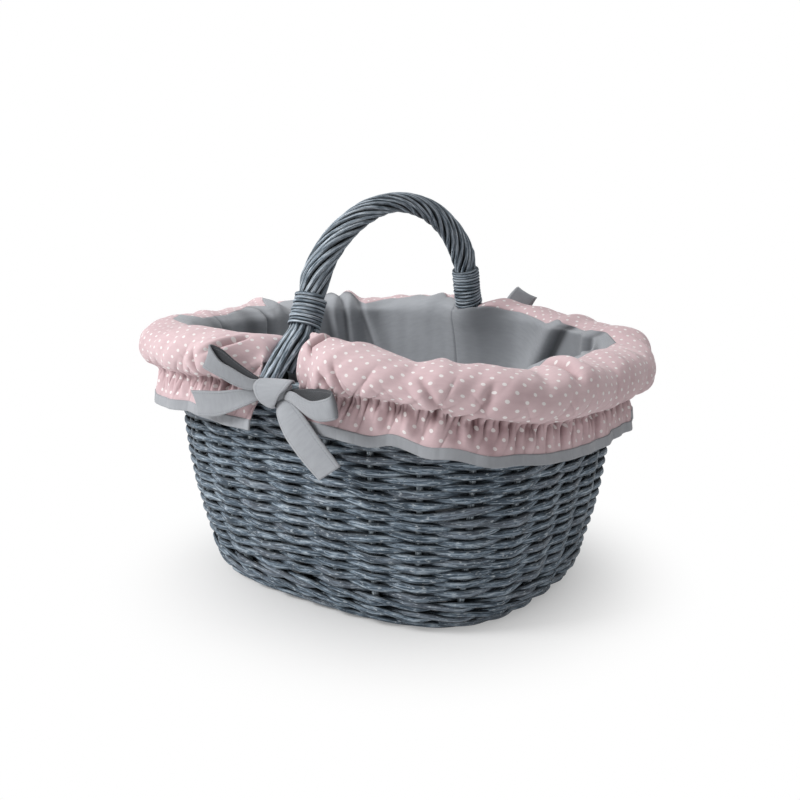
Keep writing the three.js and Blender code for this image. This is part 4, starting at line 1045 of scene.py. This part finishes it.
# Bows: grey cotton ties, sewn flat with turned edges, knotted round each foot of the handle with
# two loops and two tails, and running from the knot to the gathers of both cuffs.
RIBBON_CLOTH, RIBBON_LENGTH = 1.2, 0.5
BOW_HEIGHT = BORDER_TOP - 16
KNOT_SIDES, KNOT_RINGS = 28, 15
# Edges of the ribbon's loops and tails: sideways, outward from the wall face, up from the gather.
NEAR_LOOP = (
    [(-2, 21, 15), (-10, 24.5, 16), (-23, 31, 24), (-33, 35, 30), (-40, 38, 41), (-42, 36.3, 43),
     (-39, 34, 42), (-33, 30.5, 38.5), (-24, 26, 30), (-12, 21, 21), (-5, 18, 16)],
    [(-3, 22, 8), (-11, 25.5, 6), (-23, 31, 10), (-34, 35, 16), (-48, 38, 22), (-50.5, 36.3, 23.5),
     (-47, 34, 23), (-35, 30, 17), (-24, 26, 12), (-12, 21, 8), (-5, 18, 8)])
FAR_LOOP = (
    [(-2, 21, 15), (-5, 25, 24), (-6, 29, 33), (-11, 32, 43), (-19, 33, 52), (-22, 31.5, 53),
     (-21, 29, 52), (-16, 26, 44), (-12, 23, 34), (-8, 20, 22), (-5, 18, 16)],
    [(-3, 22, 8), (-14, 25.5, 14), (-28, 29, 22), (-37, 32, 30), (-44, 33, 41), (-46, 31.5, 42.5),
     (-44, 29, 41), (-35, 26, 29), (-26, 23, 20), (-14, 20, 12), (-5, 18, 8)])
SIDE_LOOP = (
    [(28, 21.5, 9), (40, 26.5, 11.5), (53, 31.5, 10), (67, 36, 9.5), (83, 39, 14), (87.5, 37.5, 17),
     (84, 33, 19), (70, 28, 18), (55, 24, 15.5), (40, 21.5, 12.5), (29, 19, 10)],
    [(26, 21.5, 2), (39, 27, 2), (61, 34, -4), (76, 38, -5), (90, 39.5, -2), (93, 37, 0),
     (89, 34, 1), (72, 30, 0), (56, 25.5, 1), (40, 22, 4), (28, 19, 5)])
SIDE_TAIL = ([(-2, 21, 6), (-20, 27, 5.5), (-41, 29.5, 2), (-60, 30, 0), (-75, 29, -2)],
             [(-3, 21, -2), (-17, 26, -9), (-41, 29, -19.5), (-57, 29.5, -22.5), (-68, 28.5, -24)])
LOW_TAIL = ([(28, 21, 3), (39, 24.5, 0), (52, 27, -8), (69, 28, -24), (87, 26, -43)],
            [(17, 21, -3), (20, 24, -13), (30, 26, -28), (46, 26, -44), (64, 25, -59)])
LAST_TURN = (
    [(3, 14, 12), (-1.5, 20, 16), (-5.5, 24.5, 10), (1, 26, -0.5), (12, 24, -6), (15, 17, -4)],
    [(31, 14, 15), (34.5, 20.5, 18.5), (31, 25.5, 12.5), (25.5, 27, 7), (18, 25, -4), (17, 17, -3)])
# The knot's body from top to bottom: its middle, half its width and half its depth.
KNOT_MIDDLE = [(15, 18.5, 16), (15, 19, 10), (15, 19, 2), (16, 18.5, -2.5)]
KNOT_HALF_WIDTHS = [(0, 12), (0.12, 16), (0.35, 15.5), (0.6, 11), (0.85, 6), (1, 3)]
KNOT_HALF_DEPTHS = [(0, 3), (0.15, 4.5), (0.5, 5.5), (0.85, 4.5), (1, 3)]


def bow_point(half, points):
    """The same point at the near foot of the handle, or turned about at the far one."""
    points = np.asarray(points, float)
    turn = -1 if half else 1
    return np.stack([points[..., 0] * turn, -(RIM_HALF_WIDTH + points[..., 1]) * turn,
                     BOW_HEIGHT + points[..., 2]], -1)


def ribbon(skin, half, edges, arch, samples=56, shadows=(0.0, 0.0)):
    """Ribbon between its two edges, each given by as many corners. Arch is how far it bulges, and
    shadows the painted shade of its first and second half where they lie between folds, 0 to 1; it
    is painted darker near its start at the knot too."""
    top, bottom = (curve_at(edge, np.linspace(0, len(edge) - 1, samples)) for edge in edges)
    middle = (top + bottom) / 2
    over = np.linspace(0, 1, 13)[None, :, None]
    bulge = unit(np.cross(np.gradient(middle, axis=0), bottom - top))[:, None]
    points = lerp(top[:, None], bottom[:, None], over) + bulge * arch * 4 * over * (1 - over)
    length = distances(middle)
    part = np.linspace(0, 1, samples)[:, None]
    # Painted shade between the folds, and a little more near the knot
    hollow = (lerp(*shadows, blend(0.42, 0.58, part))
              + 0.35 * np.exp(-(part * length[-1] / 7) ** 2))
    skin.grid(bow_point(half, points), length[:, None] * MM, over[..., 0] * RIBBON_WIDTH * MM,
              np.minimum(hollow, 1) + 0 * over[..., 0])


# Painted shade inside the loops: all of the near and side loops' back halves, a little of the far
# loop's
for name, half, loop, shadows in (("near", 0, NEAR_LOOP, (0, 1)), ("far", 1, FAR_LOOP, (0, 0.2))):
    skin = Skin()
    ribbon(skin, half, loop, 1.2, shadows=shadows)
    ribbon(skin, half, SIDE_LOOP, 1.2, shadows=(0, 1))
    ribbon(skin, half, SIDE_TAIL, 1.6)
    ribbon(skin, half, LOW_TAIL, 1.8)
    for column, cuff_half, start in ((0.0, half, (26, 18, 5)), (1.0, 1 - half, (0, 17, 4))):
        gather = facing(cuff_half, np.array([[column]]), np.array([[float(CUFF_GATHER)]]))[0, 0]
        turn = -1 if half else 1
        end = gather * (turn, -turn, 1) - (0, RIM_HALF_WIDTH, BOW_HEIGHT)
        run = np.array([start, (start + end) / 2, end])
        ribbon(skin, half, (run + (0, 0, 4.5), run - (0, 0, 4.5)), 0.5, 12)
    # Knot: a body of packed ribbon inside the last turn, which is wide above and narrow below.
    turns = np.arange(KNOT_SIDES) / KNOT_SIDES * 2 * math.pi
    drop = np.linspace(0, 1, KNOT_RINGS)
    middle = curve_at(KNOT_MIDDLE, drop * 3)[:, None]
    half_width, half_depth = (np.interp(drop, *zip(*sizes))[:, None]
                              for sizes in (KNOT_HALF_WIDTHS, KNOT_HALF_DEPTHS))
    points = middle + np.stack(np.broadcast_arrays(half_width * np.cos(turns),
                                                   half_depth * np.sin(turns),
                                                   1.5 * np.sin(turns)), -1)
    round_knot = np.arange(KNOT_SIDES + 1)[None] / KNOT_SIDES * 60 * MM + 0.1
    skin.grid(bow_point(half, points), drop[:, None] * 0.012 + 0.005, round_knot, around=True)
    ribbon(skin, half, LAST_TURN, -0.6, 40)
    bow = show_sheet(skin, f"bow_{name}", f"bow_{name}_ribbon", grey_ribbon, RIBBON_CLOTH)

# Floor, light and camera: a plain white sweep that shines white away from the basket, a large soft
# lamp from the upper left and the photograph's own point of view.
FLOOR_HALF = 6.0
SHADOW_INNER, SHADOW_OUTER = 0.07, 0.31   # from the floor's own tone to plain white
KEY_LIGHT = ((-1.05, -1.55, 1.4), (0, 0, 0.15), 0.8, 36)   # place, aim, size, power
TOP_LIGHT = ((-0.2, 0.4, 2.1), (0, 0, 0.2), 1.1, 15)
SKY_STRENGTH, WHITE = 0.36, (1, 1, 1, 1)
CAMERA_PLACE, LENS, SENSOR = (0.5692, -0.8019, 0.4046), 45.91, 36
CAMERA_AXES = ((0.8176, 0.5758, 0.0), (-0.1343, 0.1907, 0.9724), (0.5600, -0.7950, 0.2333))

bpy.context.scene.view_settings.view_transform = "Standard"
floor_mesh = bpy.data.meshes.new("floor")
floor_mesh.from_pydata([(x * FLOOR_HALF, y * FLOOR_HALF, 0)
                        for x, y in ((-1, -1), (1, -1), (1, 1), (-1, 1))], [], [(0, 1, 2, 3)])
floor = add_object("floor", floor_mesh)
paper = Finish("white_paper")
paper.set(Base_Color=(0.93, 0.93, 0.93, 1), Roughness=0.95)
seen, glossy, through = (paper.node("ShaderNodeLightPath", None, None, output)
                         for output in ("Is Camera Ray", "Is Glossy Ray", "Is Transmission Ray"))
spot = paper.node("ShaderNodeNewGeometry", None, None, "Position")
away = paper.node("ShaderNodeVectorMath", {"operation": "LENGTH"}, {0: spot}, "Value")
shining = paper.between(away, SHADOW_INNER, SHADOW_OUTER) * (seen + glossy + through)
white = paper.node("ShaderNodeEmission", None, {"Color": WHITE, "Strength": 1.0})
sweep = paper.node("ShaderNodeMixShader", None,
                   {0: shining, 1: Value(paper, paper.surface.outputs[0]), 2: white})
paper.put(paper.tree.nodes["Material Output"].inputs["Surface"], sweep)
floor_mesh.materials.append(paper.material)

world = bpy.data.worlds.new("studio")
bpy.context.scene.world = world
world.use_nodes = True
sky = world.node_tree
light, backdrop = sky.nodes["Background"], sky.nodes.new("ShaderNodeBackground")
for node, strength in ((light, SKY_STRENGTH), (backdrop, 1.0)):
    node.inputs["Color"].default_value = WHITE
    node.inputs["Strength"].default_value = strength
rays, choice = sky.nodes.new("ShaderNodeLightPath"), sky.nodes.new("ShaderNodeMixShader")
for k, source in enumerate((rays.outputs["Is Camera Ray"], light.outputs[0], backdrop.outputs[0])):
    sky.links.new(source, choice.inputs[k])
sky.links.new(choice.outputs[0], sky.nodes["World Output"].inputs["Surface"])


def stand(thing, right, above, back, spot):
    """Places a lamp or the camera, which look along the reverse of back."""
    matrix = np.eye(4)
    matrix[:3] = np.transpose([right, above, back, spot])
    thing.matrix_world = Matrix(matrix.tolist())


for name, (spot, target, size, power) in (("key", KEY_LIGHT), ("top", TOP_LIGHT)):
    lamp = bpy.data.lights.new(name, "AREA")
    lamp.shape, lamp.size, lamp.energy = "SQUARE", size, power
    back = unit(np.subtract(spot, target))
    right = unit(np.cross([0.0, 0.0, 1.0], back))
    stand(add_object(name, lamp), right, np.cross(back, right), back, spot)

camera_data = bpy.data.cameras.new("camera")
camera_data.sensor_width, camera_data.lens = SENSOR, LENS
camera = add_object("camera", camera_data)
stand(camera, *CAMERA_AXES, CAMERA_PLACE)
bpy.context.scene.camera = camera
